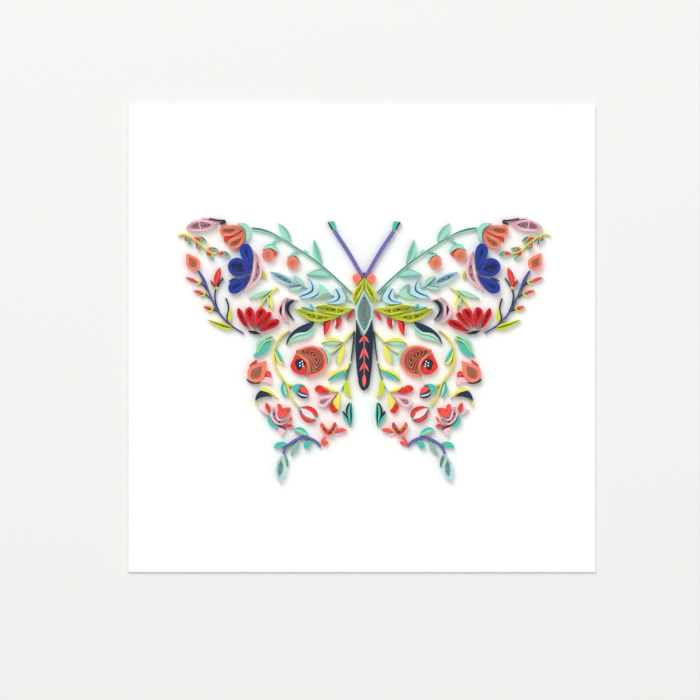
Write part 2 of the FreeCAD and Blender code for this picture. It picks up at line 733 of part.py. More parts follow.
def draw_hind_bud(paper):
    """Large coral teardrop with the petals that hold it."""
    paper.coils("coral_drops", Drop(size("hind_drop_radius"), (35.2, -11.4), (31.8, -7.1)))
    paper.leaves(
        "coral_drops",
        Strip(size("sprig_breadth"), (37.3, -9.1), (36.6, -8.3), (35.0, -7.2)),
        Strip(size("twig_breadth"), (38.2, -13.2), (37.2, -14.3), (35.2, -14.65), (34.0, -14.5)),
        Shape(
            [(32.2, -11.1), (31.2, -10.6), (30.2, -12.4)],
            [(30.2, -12.4), (32.3, -12.3)],
            [(32.3, -12.3), (32.2, -11.1)],
        ),
        Shape(
            [(32.4, -12.6), (30.3, -12.8)],
            [(30.3, -12.8), (30.0, -15.2)],
            [(30.0, -15.2), (31.6, -14.4), (33.8, -14.2)],
            [(33.8, -14.2), (32.4, -12.6)],
        ),
    )


def draw_pomegranate(paper):
    """Large coral coil cupped round a red flower with a navy heart."""
    paper.coils(
        "pomegranate",
        Shape(
            [
                (22.1, -3.8), (20.0, -2.9), (18.0, -2.35), (16.0, -2.4), (14.0, -3.2), (12.5, -5.0),
                (11.9, -7.5), (12.5, -9.7), (14.2, -11.5), (17.0, -12.5), (19.2, -12.8),
            ],
            [
                (19.2, -12.8), (18.8, -10.8), (18.7, -8.8), (19.5, -7.1), (21.0, -6.1), (22.3, -4.9),
                (22.1, -3.8),
            ],
        ),
    )
    paper.leaves(
        "pomegranate",
        Loop(
            (22.4, -7.6), (21.2, -6.8), (19.8, -7.4), (19.3, -8.8), (20.3, -9.5), (20.8, -10.5),
            (21.6, -10.3), (22.2, -8.9),
        ),
        Shape(
            [
                (22.4, -5.1), (23.0, -6.5), (23.8, -8.2), (24.0, -9.2), (23.1, -10.7), (21.4, -11.8),
                (19.8, -11.8), (19.0, -11.1),
            ],
            [(19.0, -11.1), (18.9, -8.9), (19.6, -7.3), (21.2, -6.2), (22.4, -5.1)],
        ),
        Shape(
            [(14.4, -2.8), (12.3, -3.6), (11.1, -5.3), (11.1, -7.0), (11.8, -8.3)],
            [(11.8, -8.3), (11.9, -6.4), (12.7, -4.6), (14.4, -2.8)],
        ),
    )


def draw_small_flowers(paper):
    """Three small flowers along the hind wing's inner edge: bud, tulip and trumpet."""
    paper.leaves(
        "tulip",
        Shape(
            [(21.3, -16.3), (19.8, -15.75), (18.5, -16.6), (18.1, -18.0)],
            [(18.1, -18.0), (20.0, -17.5), (21.3, -16.3)],
        ),
        Shape(
            [(21.9, -17.1), (20.8, -17.7), (19.4, -17.95), (18.0, -18.9)],
            [(18.0, -18.9), (20.0, -19.5), (21.4, -18.8), (21.9, -17.1)],
        ),
        Shape(
            [(23.5, -15.6), (21.8, -14.8), (19.3, -15.4)],
            [(19.3, -15.4), (21.2, -16.0), (21.6, -17.2), (22.2, -18.0)],
            [(22.2, -18.0), (23.2, -17.0), (23.5, -15.6)],
        ),
        Shape(
            [(20.2, -22.4), (18.0, -22.1), (16.2, -22.9), (15.1, -24.6), (15.3, -25.8)],
            [(15.3, -25.8), (17.2, -23.9), (20.2, -22.4)],
        ),
        Shape(
            [(21.0, -23.9), (20.6, -25.4), (19.4, -26.8), (17.5, -27.5), (15.9, -26.8)],
            [(15.9, -26.8), (18.0, -26.3), (19.6, -25.4), (21.0, -23.9)],
        ),
        Lens((20.7, -22.8), (15.9, -26.2), 1.15, 1.15),
        Lens((21.5, -23.5), (20.4, -22.2), 0.45, 0.4),
    )
    paper.coils("trumpet", Drop(size("trumpet_radius"), (13.5, -20.6), (8.8, -18.2)))
    paper.leaves(
        "trumpet",
        Shape(
            [
                (10.8, -17.5), (12.2, -16.5), (13.7, -15.3), (15.3, -15.2), (16.2, -16.4),
                (15.2, -17.6), (13.2, -18.1), (10.8, -17.5),
            ],
        ),
        Shape(
            [
                (10.2, -21.1), (11.5, -22.0), (11.1, -23.5), (9.8, -24.6), (8.6, -24.0), (9.0, -22.7),
                (10.2, -21.1),
            ],
        ),
        Shape([(8.3, -17.3), (10.0, -16.4), (12.6, -15.7)], [(12.6, -15.7), (10.5, -17.2), (8.3, -17.3)]),
        Shape(
            [(8.2, -17.7), (9.2, -19.2), (10.1, -20.8), (9.3, -22.4), (8.5, -23.4)],
            [(8.5, -23.4), (8.0, -21.4), (7.85, -19.5), (8.2, -17.7)],
        ),
    )


def draw_lotus(paper):
    """Pink cupped coil with red petals, teal crescent and tail."""
    paper.coils(
        "lotus",
        Shape(
            [
                (29.6, -21.9), (30.4, -24.0), (30.2, -25.8), (29.2, -27.4), (27.0, -28.2),
                (25.2, -27.4), (24.2, -25.9),
            ],
            [(24.2, -25.9), (25.7, -25.9), (27.2, -26.3), (28.1, -25.3), (28.5, -23.5), (29.6, -21.9)],
        ),
    )
    paper.leaves(
        "lotus",
        Shape(
            [(28.3, -21.3), (27.3, -21.3), (27.2, -22.9)],
            [(27.2, -22.9), (25.6, -22.5), (23.8, -22.6)],
            [(23.8, -22.6), (24.6, -24.9), (26.2, -25.7), (27.9, -25.6)],
            [(27.9, -25.6), (28.2, -23.6), (28.3, -21.3)],
        ),
        Shape([(32.0, -21.0), (32.1, -22.8), (31.0, -24.1)], [(31.0, -24.1), (30.6, -22.5), (32.0, -21.0)]),
        Lens((34.0, -23.1), (31.0, -25.1), 0.5, 0.4),
        Lens((23.5, -25.5), (24.4, -27.2), 0.35, 0.35),
        Lens((26.3, -28.5), (23.1, -28.5), 0.6, 0.65),
        Shape(
            [(31.0, -25.2), (31.4, -26.6), (30.8, -28.1), (29.4, -29.0), (27.9, -28.8)],
            [(27.9, -28.8), (29.4, -27.9), (30.3, -26.7), (31.0, -25.2)],
        ),
        Shape(
            [(28.0, -29.0), (27.6, -30.7), (27.0, -32.1)],
            [(27.0, -32.1), (26.2, -31.0), (25.6, -29.9)],
            [(25.6, -29.9), (26.7, -29.3), (28.0, -29.0)],
        ),
        Strip(size("twig_breadth"), (27.7, -28.5), (26.9, -28.9), (25.5, -29.7)),
    )


def draw_orchid(paper):
    """Coral coil bent to a cup over a curled strip, with a coral leaf beside it."""
    paper.coils(
        "orchid",
        Shape(
            [
                (13.6, -27.0), (14.4, -28.1), (13.7, -30.2), (12.5, -31.7), (11.4, -31.95),
                (10.3, -31.5), (9.2, -29.8), (8.8, -28.1), (9.9, -26.7),
            ],
            [(9.9, -26.7), (10.7, -28.5), (11.5, -29.5)],
            [(11.5, -29.5), (12.7, -28.3), (13.6, -27.0)],
        ),
    )
    paper.leaves("orchid", Lens((9.1, -30.0), (5.7, -29.8), 0.75, 0.7))
    paper.stems(
        "orchid",
        Strip(size("twig_breadth"), (9.7, -31.0), (9.0, -31.25), (8.0, -31.35)),
        Strip(
            size("sprig_breadth"),
            (12.6, -32.1), (13.5, -33.0), (13.9, -34.0), (13.1, -34.8), (12.2, -34.3), (11.8, -33.5),
        ),
    )


def draw_tail(paper):
    """Arched indigo stem with its leaves, and the mint marquise that ends the wing."""
    paper.coils(
        "tail_spray",
        Shape(
            [(27.0, -38.0), (28.6, -40.4), (29.1, -42.5), (28.7, -45.0), (27.8, -47.0)],
            [(27.8, -47.0), (26.1, -44.8), (25.3, -42.2), (25.7, -40.2), (27.0, -38.0)],
        ),
    )
    paper.stems(
        "tail_spray",
        Strip(
            size("tail_breadth"),
            (14.2, -35.4), (15.6, -33.7), (17.5, -32.7), (20.0, -32.4), (22.8, -33.4), (25.0, -35.0),
            (26.4, -37.6),
        ),
        Strip(size("twig_breadth"), (25.8, -38.0), (25.2, -39.3), (24.9, -40.6), (24.9, -41.8)),
    )
    paper.leaves(
        "tail_spray",
        Shape(
            [(18.1, -31.8), (19.3, -29.7), (21.3, -28.9), (22.9, -30.0)],
            [(22.9, -30.0), (20.8, -31.4), (18.1, -31.8)],
        ),
        Shape(
            [(24.9, -34.5), (27.2, -33.7), (29.0, -34.5), (29.4, -35.7)],
            [(29.4, -35.7), (27.0, -35.4), (24.9, -34.5)],
        ),
        Shape(
            [(21.6, -33.4), (23.2, -35.2), (23.9, -38.2)],
            [(23.9, -38.2), (22.2, -37.0), (21.2, -35.2), (21.6, -33.4)],
        ),
        Shape(
            [(17.2, -33.2), (19.0, -33.7), (19.8, -35.0), (18.5, -36.1)],
            [(18.5, -36.1), (17.5, -34.8), (17.2, -33.2)],
        ),
    )


# Middle line

def both_sides(spots):
    """Complete an outline that runs from the axis to the axis on one side."""
    return [(-across, up) for across, up in reversed(spots)]


def draw_body(paper):
    """Thorax coil, navy abdomen with its coral sprig, and the head spot."""
    thorax = [
        (0.0, 16.0), (1.1, 14.0), (2.1, 11.9), (2.75, 10.0),
        (2.9, 8.4), (2.55, 6.0), (1.5, 3.2), (0.0, 0.8),
    ]
    paper.coils("thorax", Shape(thorax, both_sides(thorax)))
    paper.leaves("head_spot", Lens((0.0, 21.7), (0.0, 20.7), 0.45, 0.45))
    paper.leaves(
        "abdomen_sprig",
        Lens((0.15, 1.0), (1.7, -1.6), 0.3, 0.6),
        Lens((-0.15, 1.0), (-1.7, -1.6), 0.6, 0.3),
        Lens((0.2, -2.8), (1.6, -7.0), 0.2, 0.65),
        Lens((-0.2, -2.8), (-1.6, -7.0), 0.65, 0.2),
        Lens((0.2, -7.7), (1.6, -10.9), 0.2, 0.6),
        Lens((-0.2, -7.7), (-1.6, -10.9), 0.6, 0.2),
        Lens((0.0, -11.5), (0.0, -15.9), 0.7, 0.7),
    )
    side = [
        (2.6, 6.0), (2.9, 2.8), (2.85, -1.4), (2.7, -6.4), (2.4, -10.1), (1.95, -13.4), (1.2, -16.2),
        (0.0, -17.1),
    ]
    neck = [(-2.6, 6.0), (0.0, 0.5), (2.6, 6.0)]
    paper.leaves("abdomen", Shape(side, both_sides(side), neck))


def draw_border(paper):
    """Green strip that runs beside the abdomen and on to the trumpet flower."""
    paper.stems(
        "hind_sprig",
        Strip(
            size("border_breadth"),
            (3.2, 2.4), (3.3, 0.0), (3.6, -2.5), (4.0, -5.2), (4.5, -8.6), (5.1, -11.4), (6.2, -14.0),
            (7.8, -17.1),
        ),
    )


WING_PATTERNS = [
    draw_tip, draw_rose, draw_vine, draw_buds, draw_blue_flower, draw_sky_buds, draw_poppy,
    draw_crescents, draw_blades, draw_hind_sprig, draw_hind_leaves, draw_hind_vine, draw_hind_bud,
    draw_pomegranate, draw_small_flowers, draw_lotus, draw_orchid, draw_tail, draw_border,
]


# Document objects

def bind_height(part):
    """Stand a sub-part on the card's face."""
    part.setExpression(".Placement.Base.z", CARD_TOP)


def add_sub_part(label, groups):
    """Extrude each flat group to its strip width, and join the groups under one label."""
    risers = []
    for rise, faces in groups.items():
        flat = doc.addObject("Part::Feature", "flat_" + label)
        flat.Shape = Part.makeCompound(faces)
        riser = doc.addObject("Part::Extrusion", "rise_" + label)
        riser.Base = flat
        riser.DirMode = "Custom"
        riser.Dir = UP
        riser.Solid = True
        riser.setExpression("LengthFwd", "Sizes." + rise)
        risers.append(riser)
    part = doc.addObject("Part::Compound", label)
    part.Links = risers
    part.Label = label
    bind_height(part)
    return part


def add_card():
    """Card folded from one sheet: two leaves joined by a half-round fold along the left edge."""
    body = doc.addObject("PartDesign::Body", "card")
    body.Label = "card"
    sketch = body.newObject("Sketcher::SketchObject", "card_edge")
    plane = [item for item in body.Origin.OriginFeatures if item.Role == "XZ_Plane"][0]
    sketch.AttachmentSupport = [(plane, "")]
    sketch.MapMode = "FlatFace"
    leaf, gap = size("card_leaf"), size("fold_gap")
    half = size("card_side") / 2
    top = 2 * leaf + gap
    bend = -half + top / 2

    def at(across, height):
        return FreeCAD.Vector(across, height, 0)

    outer_arc = Part.Arc(at(bend, top), at(-half, top / 2), at(bend, 0))
    inner_arc = Part.Arc(at(bend, top - leaf), at(bend - gap / 2, top / 2), at(bend, leaf))
    sketch.addGeometry(
        [
            outer_arc,
            Part.LineSegment(at(bend, 0), at(half, 0)),
            Part.LineSegment(at(half, 0), at(half, leaf)),
            Part.LineSegment(at(half, leaf), at(bend, leaf)),
            inner_arc,
            Part.LineSegment(at(bend, top - leaf), at(half, top - leaf)),
            Part.LineSegment(at(half, top - leaf), at(half, top)),
            Part.LineSegment(at(half, top), at(bend, top)),
        ],
        False,
    )
    pad = body.newObject("PartDesign::Pad", "card_pad")
    pad.Profile = sketch
    pad.SideType = "Symmetric"
    pad.setExpression("Length", "Sizes.card_side")
    return body


def mirrored(groups):
    """Turn the left pieces over about the butterfly's axis."""
    axis_point = FreeCAD.Vector(AXIS, 0, 0)
    across = FreeCAD.Vector(1, 0, 0)
    return {rise: [face.mirror(axis_point, across) for face in faces] for rise, faces in groups.items()}


middle = Pattern()
draw_body(middle)

wing = Pattern()
wing.taken.extend(middle.taken)
draw_head(wing)
draw_shoulders(wing)
for draw in WING_PATTERNS:
    draw(wing)

sub_parts = [add_card()]
for label, groups in middle.groups.items():
    sub_parts.append(add_sub_part(label, groups))
for label, groups in wing.groups.items():
    sub_parts.append(add_sub_part("left_" + label, groups))
    sub_parts.append(add_sub_part("right_" + label, mirrored(groups)))

doc.recompute()
for item in doc.Objects:
    if "Invalid" in item.State or "Error" in item.State:
        raise RuntimeError("%s could not be built" % item.Label)
for part in sub_parts:
    if part.Shape.isNull() or not part.Shape.isValid():
        raise RuntimeError("%s has no valid shape" % part.Label)

os.makedirs("parts", exist_ok=True)
for part in sub_parts:
    part.Shape.exportStep(os.path.join("parts", part.Label + ".step"))
solids = [solid for part in sub_parts for solid in part.Shape.Solids]
print("%d sub-parts, %d solids" % (len(sub_parts), len(solids)))
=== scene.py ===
"""Dresses the quilled paper butterfly card: dyed strips on edge, rolled, pinched and glued."""
import logging
import math
import random
from dataclasses import dataclass
from enum import Enum
from typing import Optional, Sequence

import bmesh
import bpy
import numpy as np
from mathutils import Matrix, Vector


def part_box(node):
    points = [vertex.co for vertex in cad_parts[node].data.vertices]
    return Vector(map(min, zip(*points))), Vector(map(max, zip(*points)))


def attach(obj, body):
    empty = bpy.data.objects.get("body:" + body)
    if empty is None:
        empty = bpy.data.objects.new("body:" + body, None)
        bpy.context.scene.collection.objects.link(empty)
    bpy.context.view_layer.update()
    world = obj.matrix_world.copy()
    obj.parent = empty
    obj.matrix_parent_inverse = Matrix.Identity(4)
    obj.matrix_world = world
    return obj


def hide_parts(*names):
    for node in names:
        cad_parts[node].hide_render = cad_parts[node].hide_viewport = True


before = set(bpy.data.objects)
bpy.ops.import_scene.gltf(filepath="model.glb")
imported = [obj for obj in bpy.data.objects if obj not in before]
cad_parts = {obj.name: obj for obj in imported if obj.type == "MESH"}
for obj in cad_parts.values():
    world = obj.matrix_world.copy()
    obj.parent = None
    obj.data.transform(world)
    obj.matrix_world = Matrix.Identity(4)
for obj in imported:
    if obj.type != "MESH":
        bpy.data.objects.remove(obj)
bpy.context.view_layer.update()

LOG = logging.getLogger("butterfly")
MM = 0.001
CARD_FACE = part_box("card")[1].z / MM
# Lengths below are in millimetres: the butterfly's axis lies this far right of the card's middle
AXIS_X = 0.8
# Pieces that stand higher than these are coils, and leaves; the rest are stems
COIL_RISE = 2.7
LEAF_RISE = 2.1
# A strip bent along an outline: its breadth, and how far its top lies below the piece's
EDGE_STRIP = 0.2
EDGE_DROP = 0.02
# A cut strip keeps off holes by this share of its breadth, and off the rim by this share of that
HOLE_SLACK = 0.4
RIM_SLACK = 0.6
# Corners weld where they agree to so many decimals, and a face looks up where its normal rises so far
WELD_DIGITS = 4
LEVEL = 0.99
TINY = 1e-9
# Tops of strips rise and fall in waves that start up to so many radians in, and tones differ so much
WAVE_START = 6.0
TONE_SPREAD = 0.05

Spot = tuple[float, float]
Place = tuple[float, float, float]


# Colours and finishes

def linear(hex_colour: str) -> tuple[float, float, float, float]:
    """Turn an sRGB hex colour into linear light.

    Args:
        hex_colour: Colour as #RRGGBB.

    Returns:
        Red, green, blue and an alpha of one.
    """
    channels = []
    for start in (1, 3, 5):
        value = int(hex_colour[start:start + 2], 16) / 255
        channels.append(value / 12.92 if value <= 0.04045 else ((value + 0.055) / 1.055) ** 2.4)
    return (*channels, 1.0)


class Dye(Enum):
    """The colours that the quilling papers are dyed in."""

    CORAL = "#F5846A"
    CORAL_RED = "#F07A6E"
    BRICK = "#DE8468"
    RUSSET = "#D0634B"
    SCARLET = "#F2584A"
    RED = "#E8392F"
    POPPY = "#E2202A"
    GARNET = "#B8141E"
    CRIMSON = "#C11A20"
    OXBLOOD = "#7A0A12"
    BURGUNDY = "#5C2634"
    PINK = "#F7C6D2"
    MAUVE = "#CF9FAB"
    CREAM = "#F8EDE8"
    SNOW = "#F8F8F6"
    PEARL = "#C9C6E0"
    LILAC = "#7472C0"
    INDIGO = "#4D4E94"
    BLUE = "#2A3E9C"
    COBALT = "#26398A"
    DENIM = "#274463"
    NAVY = "#1D3048"
    MIDNIGHT = "#1A2B40"
    INK = "#141C2A"
    SKY = "#B4DEEA"
    STEEL = "#9DC2CE"
    SLATE = "#3E5560"
    AQUA = "#BFE6E0"
    AQUA_BLUE = "#6CD3CE"
    GREY_GREEN = "#8FB0A6"
    PALE_MINT = "#CDEBE0"
    MINT = "#A4DCC2"
    SAGE = "#8FB8A6"
    TEAL = "#4FBFAF"
    DEEP_TEAL = "#3E8577"
    PINE = "#12463F"
    PALE_LIME = "#B2E38A"
    LIME = "#D0DA2C"
    FERN = "#BCC32E"
    OLIVE = "#6E7022"
    GOLD = "#C9BE45"
    STRAW = "#DCD85A"
    YELLOW = "#EFE45A"


def add_node(tree: bpy.types.NodeTree, kind: str, settings: Optional[dict] = None,
             links: Optional[dict] = None) -> bpy.types.Node:
    """Add one node with its settings and incoming links.

    Args:
        tree: Node tree that takes the node.
        kind: Blender's identifier of the node.
        settings: Properties by name, and input defaults by socket name or number.
        links: Output sockets by the input's name or number.

    Returns:
        The new node.
    """
    node = tree.nodes.new(kind)
    for key, value in (settings or {}).items():
        if isinstance(key, str) and hasattr(node, key):
            setattr(node, key, value)
        else:
            node.inputs[key].default_value = value
    for key, socket in (links or {}).items():
        tree.links.new(socket, node.inputs[key])
    return node


def bare_material(name: str) -> bpy.types.Material:
    """Make a material with no nodes yet.

    Args:
        name: Name of the material.

    Returns:
        The material.
    """
    material = bpy.data.materials.new(name)
    material.use_nodes = True
    material.node_tree.nodes.clear()
    return material


@dataclass(frozen=True)
class QuillingPaper:
    """Dyed-through quilling paper, uncoated and cut into strips."""

    # Uncoated paper is matt and faintly fibrous; each strip takes the dye a little differently
    dye: Dye
    roughness: float = 0.78
    specular: float = 0.15
    ior: float = 1.45
    fibre_mm: float = 0.35
    fibre_detail: float = 3.0
    fibre_tone: float = 0.10
    fibre_depth_mm: float = 0.03
    fibre_strength: float = 0.35
    mottle_mm: float = 2.5
    mottle_detail: float = 2.0
    mottle_tone: float = 0.06
    # Faces that look up are mixed towards white: partly the paler fibres of the cut edge, partly a painted
    # highlight on the strips' tops
    pale_fibre_and_highlight: float = 0.01
    facing_up_from: float = 0.6
    fibre_and_highlight_white: float = 0.95

    def material(self) -> bpy.types.Material:
        """Build the material, or give the one that is there already.

        Returns:
            The paper's material.
        """
        name = "quilling_paper_" + self.dye.name.lower()
        if name in bpy.data.materials:
            return bpy.data.materials[name]
        material = bare_material(name)
        tree = material.node_tree
        place = add_node(tree, "ShaderNodeTexCoord").outputs["Object"]
        fibre = add_node(tree, "ShaderNodeTexNoise",
                         {"Scale": 1 / (self.fibre_mm * MM), "Detail": self.fibre_detail}, {"Vector": place})
        mottle = add_node(tree, "ShaderNodeTexNoise",
                          {"Scale": 1 / (self.mottle_mm * MM), "Detail": self.mottle_detail},
                          {"Vector": place})
        value = self.brightness(tree, fibre.outputs["Fac"], mottle.outputs["Fac"])
        dyed = add_node(tree, "ShaderNodeHueSaturation", {"Color": linear(self.dye.value)}, {"Value": value})
        # Painted highlight with the cut edge's paler fibres: the further a face's normal points up, the
        # whiter its colour
        facing = add_node(tree, "ShaderNodeNewGeometry")
        parts = add_node(tree, "ShaderNodeSeparateXYZ", None, {"Vector": facing.outputs["Normal"]})
        edge = add_node(tree, "ShaderNodeMapRange",
                        {"From Min": self.facing_up_from, "From Max": 1.0, "To Max": self.pale_fibre_and_highlight},
                        {"Value": parts.outputs["Z"]})
        # The colour sockets of a Mix node share their names, so they go by number
        colour = add_node(tree, "ShaderNodeMix", {"data_type": "RGBA", 7: (*[self.fibre_and_highlight_white] * 3, 1.0)},
                          {0: edge.outputs["Result"], 6: dyed.outputs["Color"]})
        bump = add_node(tree, "ShaderNodeBump",
                        {"Strength": self.fibre_strength, "Distance": self.fibre_depth_mm * MM},
                        {"Height": fibre.outputs["Fac"]})
        shader = add_node(tree, "ShaderNodeBsdfPrincipled",
                          {"Roughness": self.roughness, "IOR": self.ior, "Specular IOR Level": self.specular},
                          {"Base Color": colour.outputs[2], "Normal": bump.outputs["Normal"]})
        add_node(tree, "ShaderNodeOutputMaterial", None, {"Surface": shader.outputs["BSDF"]})
        return material

    def brightness(self, tree: bpy.types.NodeTree, fibre: bpy.types.NodeSocket,
                   mottle: bpy.types.NodeSocket) -> bpy.types.NodeSocket:
        """Mix fibre, mottle and each strip's own tone into one brightness.

        Args:
            tree: Node tree of the material.
            fibre: Fine noise.
            mottle: Coarse noise.

        Returns:
            The socket with the brightness, about one.
        """
        fine = add_node(tree, "ShaderNodeMapRange", {"To Min": -self.fibre_tone, "To Max": self.fibre_tone},
                        {"Value": fibre})
        coarse = add_node(tree, "ShaderNodeMapRange",
                          {"To Min": 1 - self.mottle_tone, "To Max": 1 + self.mottle_tone}, {"Value": mottle})
        tone = add_node(tree, "ShaderNodeAttribute", {"attribute_name": "tone"})
        both = add_node(tree, "ShaderNodeMath", {"operation": "ADD"},
                        {0: fine.outputs["Result"], 1: coarse.outputs["Result"]})
        total = add_node(tree, "ShaderNodeMath", {"operation": "ADD"},
                         {0: both.outputs["Value"], 1: tone.outputs["Fac"]})
        return total.outputs["Value"]


@dataclass(frozen=True)
class CardStock:
    """Smooth white card, calendered at the mill."""

    # Calendered card is nearly plain, with a faint tooth and the cloud of its pulp
    colour: str = "#FBFBFA"
    roughness: float = 0.6
    specular: float = 0.35
    tooth_mm: float = 0.5
    tooth_detail: float = 3.0
    tooth_depth_mm: float = 0.02
    tooth_strength: float = 0.2
    cloud_mm: float = 14.0
    cloud_detail: float = 4.0
    cloud_tone: float = 0.97

    def material(self) -> bpy.types.Material:
        """Build the card's material.

        Returns:
            The material.
        """
        material = bare_material("white_card_stock")
        tree = material.node_tree
        place = add_node(tree, "ShaderNodeTexCoord").outputs["Object"]
        cloud = add_node(tree, "ShaderNodeTexNoise",
                         {"Scale": 1 / (self.cloud_mm * MM), "Detail": self.cloud_detail}, {"Vector": place})
        tooth = add_node(tree, "ShaderNodeTexNoise",
                         {"Scale": 1 / (self.tooth_mm * MM), "Detail": self.tooth_detail}, {"Vector": place})
        value = add_node(tree, "ShaderNodeMapRange", {"To Min": self.cloud_tone, "To Max": 1.0},
                         {"Value": cloud.outputs["Fac"]})
        colour = add_node(tree, "ShaderNodeHueSaturation", {"Color": linear(self.colour)},
                          {"Value": value.outputs["Result"]})
        bump = add_node(tree, "ShaderNodeBump",
                        {"Strength": self.tooth_strength, "Distance": self.tooth_depth_mm * MM},
                        {"Height": tooth.outputs["Fac"]})
        shader = add_node(tree, "ShaderNodeBsdfPrincipled",
                          {"Roughness": self.roughness, "Specular IOR Level": self.specular},
                          {"Base Color": colour.outputs["Color"], "Normal": bump.outputs["Normal"]})
        add_node(tree, "ShaderNodeOutputMaterial", None, {"Surface": shader.outputs["BSDF"]})
        return material


# Outlines read from the frame: across outwards from the axis, and up the card

class Side(Enum):
    """The side of the axis that a node lies on, as the sign of its X."""

    LEFT = -1
    RIGHT = 1


@dataclass
class Piece:
    """One paper piece of a node: its outline seen from above, its holes and its heights."""

    rim: np.ndarray
    holes: list[np.ndarray]
    bottom: float
    top: float

    def distance(self, spot: Spot) -> float:
        """Tell how far a spot lies from the piece.

        Args:
            spot: Across and up.

        Returns:
            Nought inside the piece, else the distance to its rim.
        """
        point = np.array([spot])
        if inside(point, self.rim)[0] and not any(inside(point, hole)[0] for hole in self.holes):
            return 0.0
        return float(min(edge_distance(point, loop)[0] for loop in [self.rim, *self.holes]))


def inside(points: np.ndarray, loop: np.ndarray) -> np.ndarray:
    """Test points against a closed outline.

    Args:
        points: Places, one a row.
        loop: Corners of the outline.

    Returns:
        True for each place inside.
    """
    x, y = points[:, 0:1], points[:, 1:2]
    ax, ay = loop[:, 0], loop[:, 1]
    bx, by = np.roll(ax, -1), np.roll(ay, -1)
    spans = (ay > y) != (by > y)
    with np.errstate(divide="ignore", invalid="ignore"):
        cross = (bx - ax) * (y - ay) / (by - ay) + ax
    return (spans & (x < cross)).sum(axis=1) % 2 == 1


def edge_distance(points: np.ndarray, loop: np.ndarray) -> np.ndarray:
    """Measure from points to the nearest edge of a closed outline.

    Args:
        points: Places, one a row.
        loop: Corners of the outline.

    Returns:
        A distance for each place.
    """
    start = loop[None, :, :]
    run = np.roll(loop, -1, axis=0)[None, :, :] - start
    gap = points[:, None, :] - start
    share = np.clip((gap * run).sum(2) / np.maximum((run * run).sum(2), TINY**2), 0, 1)
    return np.linalg.norm(gap - share[:, :, None] * run, axis=2).min(axis=1)


def area(loop: np.ndarray) -> float:
    """Give the signed area inside an outline."""
    x, y = loop[:, 0], loop[:, 1]
    return float((x * np.roll(y, -1) - np.roll(x, -1) * y).sum() / 2)


def read_pieces(node: str, side: Side) -> list[Piece]:
    """Read the outlines of a node's pieces off the faces that look up.

    Args:
        node: Name of the frame's node.
        side: Side of the axis that the node lies on.

    Returns:
        The node's pieces.
    """
    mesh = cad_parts[node].data
    mesh.calc_loop_triangles()
    places = np.array([vertex.co for vertex in mesh.vertices]) / MM
    places, same = np.unique(np.round(places, WELD_DIGITS), axis=0, return_inverse=True)
    same = same.reshape(-1)
    triangles = same[np.array([triangle.vertices[:] for triangle in mesh.loop_triangles])]
    outer, holes = [], []
    for chain in top_chains(places, triangles):
        loop = without_nicks(places[chain])
        flat = np.column_stack(((loop[:, 0] - AXIS_X) * side.value, loop[:, 1]))
        (outer if area(loop[:, :2]) > 0 else holes).append((flat, float(loop[0, 2])))
    bottom = float(places[:, 2].min())
    pieces = [Piece(rim, [], bottom, top) for rim, top in outer]
    for hole, _ in holes:
        for piece in pieces:
            if inside(hole[:1], piece.rim)[0]:
                piece.holes.append(hole)
    return pieces


def top_chains(places: np.ndarray, triangles: np.ndarray) -> list[list[int]]:
    """Follow the edges round the faces that look up.

    Args:
        places: Corners of the triangles.
        triangles: Numbers of the corners, three a row.

    Returns:
        The corners' numbers round each outline and hole.
    """
    one, two, three = (places[triangles[:, corner]] for corner in range(3))
    normal = np.cross(two - one, three - one)
    up = normal[:, 2] > LEVEL * np.linalg.norm(normal, axis=1) + TINY
    edges = {(int(row[k]), int(row[(k + 1) % 3])) for row in triangles[up] for k in range(3)}
    follow = {first: second for first, second in edges if (second, first) not in edges}
    chains = []
    while follow:
        start, here = follow.popitem()
        chain = [start]
        while here != start:
            chain.append(here)
            here = follow.pop(here)
        chains.append(chain)
    return chains


def without_nicks(loop: np.ndarray, shortest: float = 0.15) -> np.ndarray:
    """Draw each run of very short edges together to one corner.

    Args:
        loop: Corners of an outline.
        shortest: Length from which an edge counts.

    Returns:
        The outline with plain corners.
    """
    reach = np.linalg.norm(loop - np.roll(loop, 1, axis=0), axis=1)
    if (reach < shortest).all():
        return loop
    start = int(np.nonzero(reach >= shortest)[0][0])
    loop, reach = np.roll(loop, -start, axis=0), np.roll(reach, -start)
    runs: list[list[np.ndarray]] = []
    for place, step in zip(loop, reach):
        if step >= shortest:
            runs.append([])
        runs[-1].append(place)
    return np.array([np.mean(run, axis=0) for run in runs])


def rounded(chain: np.ndarray, corner: float = 62.0, steps: int = 5) -> np.ndarray:
    """Round the facets of a chain, and keep its corners.

    Args:
        chain: Places along the chain.
        corner: Turn in degrees from which a place counts as a corner.
        steps: Places for each facet.

    Returns:
        Closer places along a smooth chain.
    """
    turns = np.diff(chain, axis=0)
    heading = np.degrees(np.arctan2(turns[:, 1], turns[:, 0]))
    bend = np.abs((np.diff(heading) + 180) % 360 - 180)
    stops = [0, *(np.nonzero(bend > corner)[0] + 1), len(chain) - 1]
    out = [chain[:1]]
    for first, last in zip(stops[:-1], stops[1:]):
        run = chain[first:last + 1]
        if len(run) == 2:
            out.append(run[:1] + (run[1] - run[0]) * np.linspace(0, 1, steps + 1)[1:, None])
            continue
        padded = np.vstack((2 * run[0] - run[1], run, 2 * run[-1] - run[-2]))
        for k in range(len(run) - 1):
            before, near, far, after = padded[k:k + 4]
            reach = np.linalg.norm(far - near)
            leave = (far - before) * reach / max(np.linalg.norm(far - before), TINY)
            arrive = (after - near) * reach / max(np.linalg.norm(after - near), TINY)
            t = np.linspace(0, 1, steps + 1)[1:, None]
            out.append((2 * t**3 - 3 * t**2 + 1) * near + (t**3 - 2 * t**2 + t) * leave
                       + (3 * t**2 - 2 * t**3) * far + (t**3 - t**2) * arrive)
    return np.vstack(out)


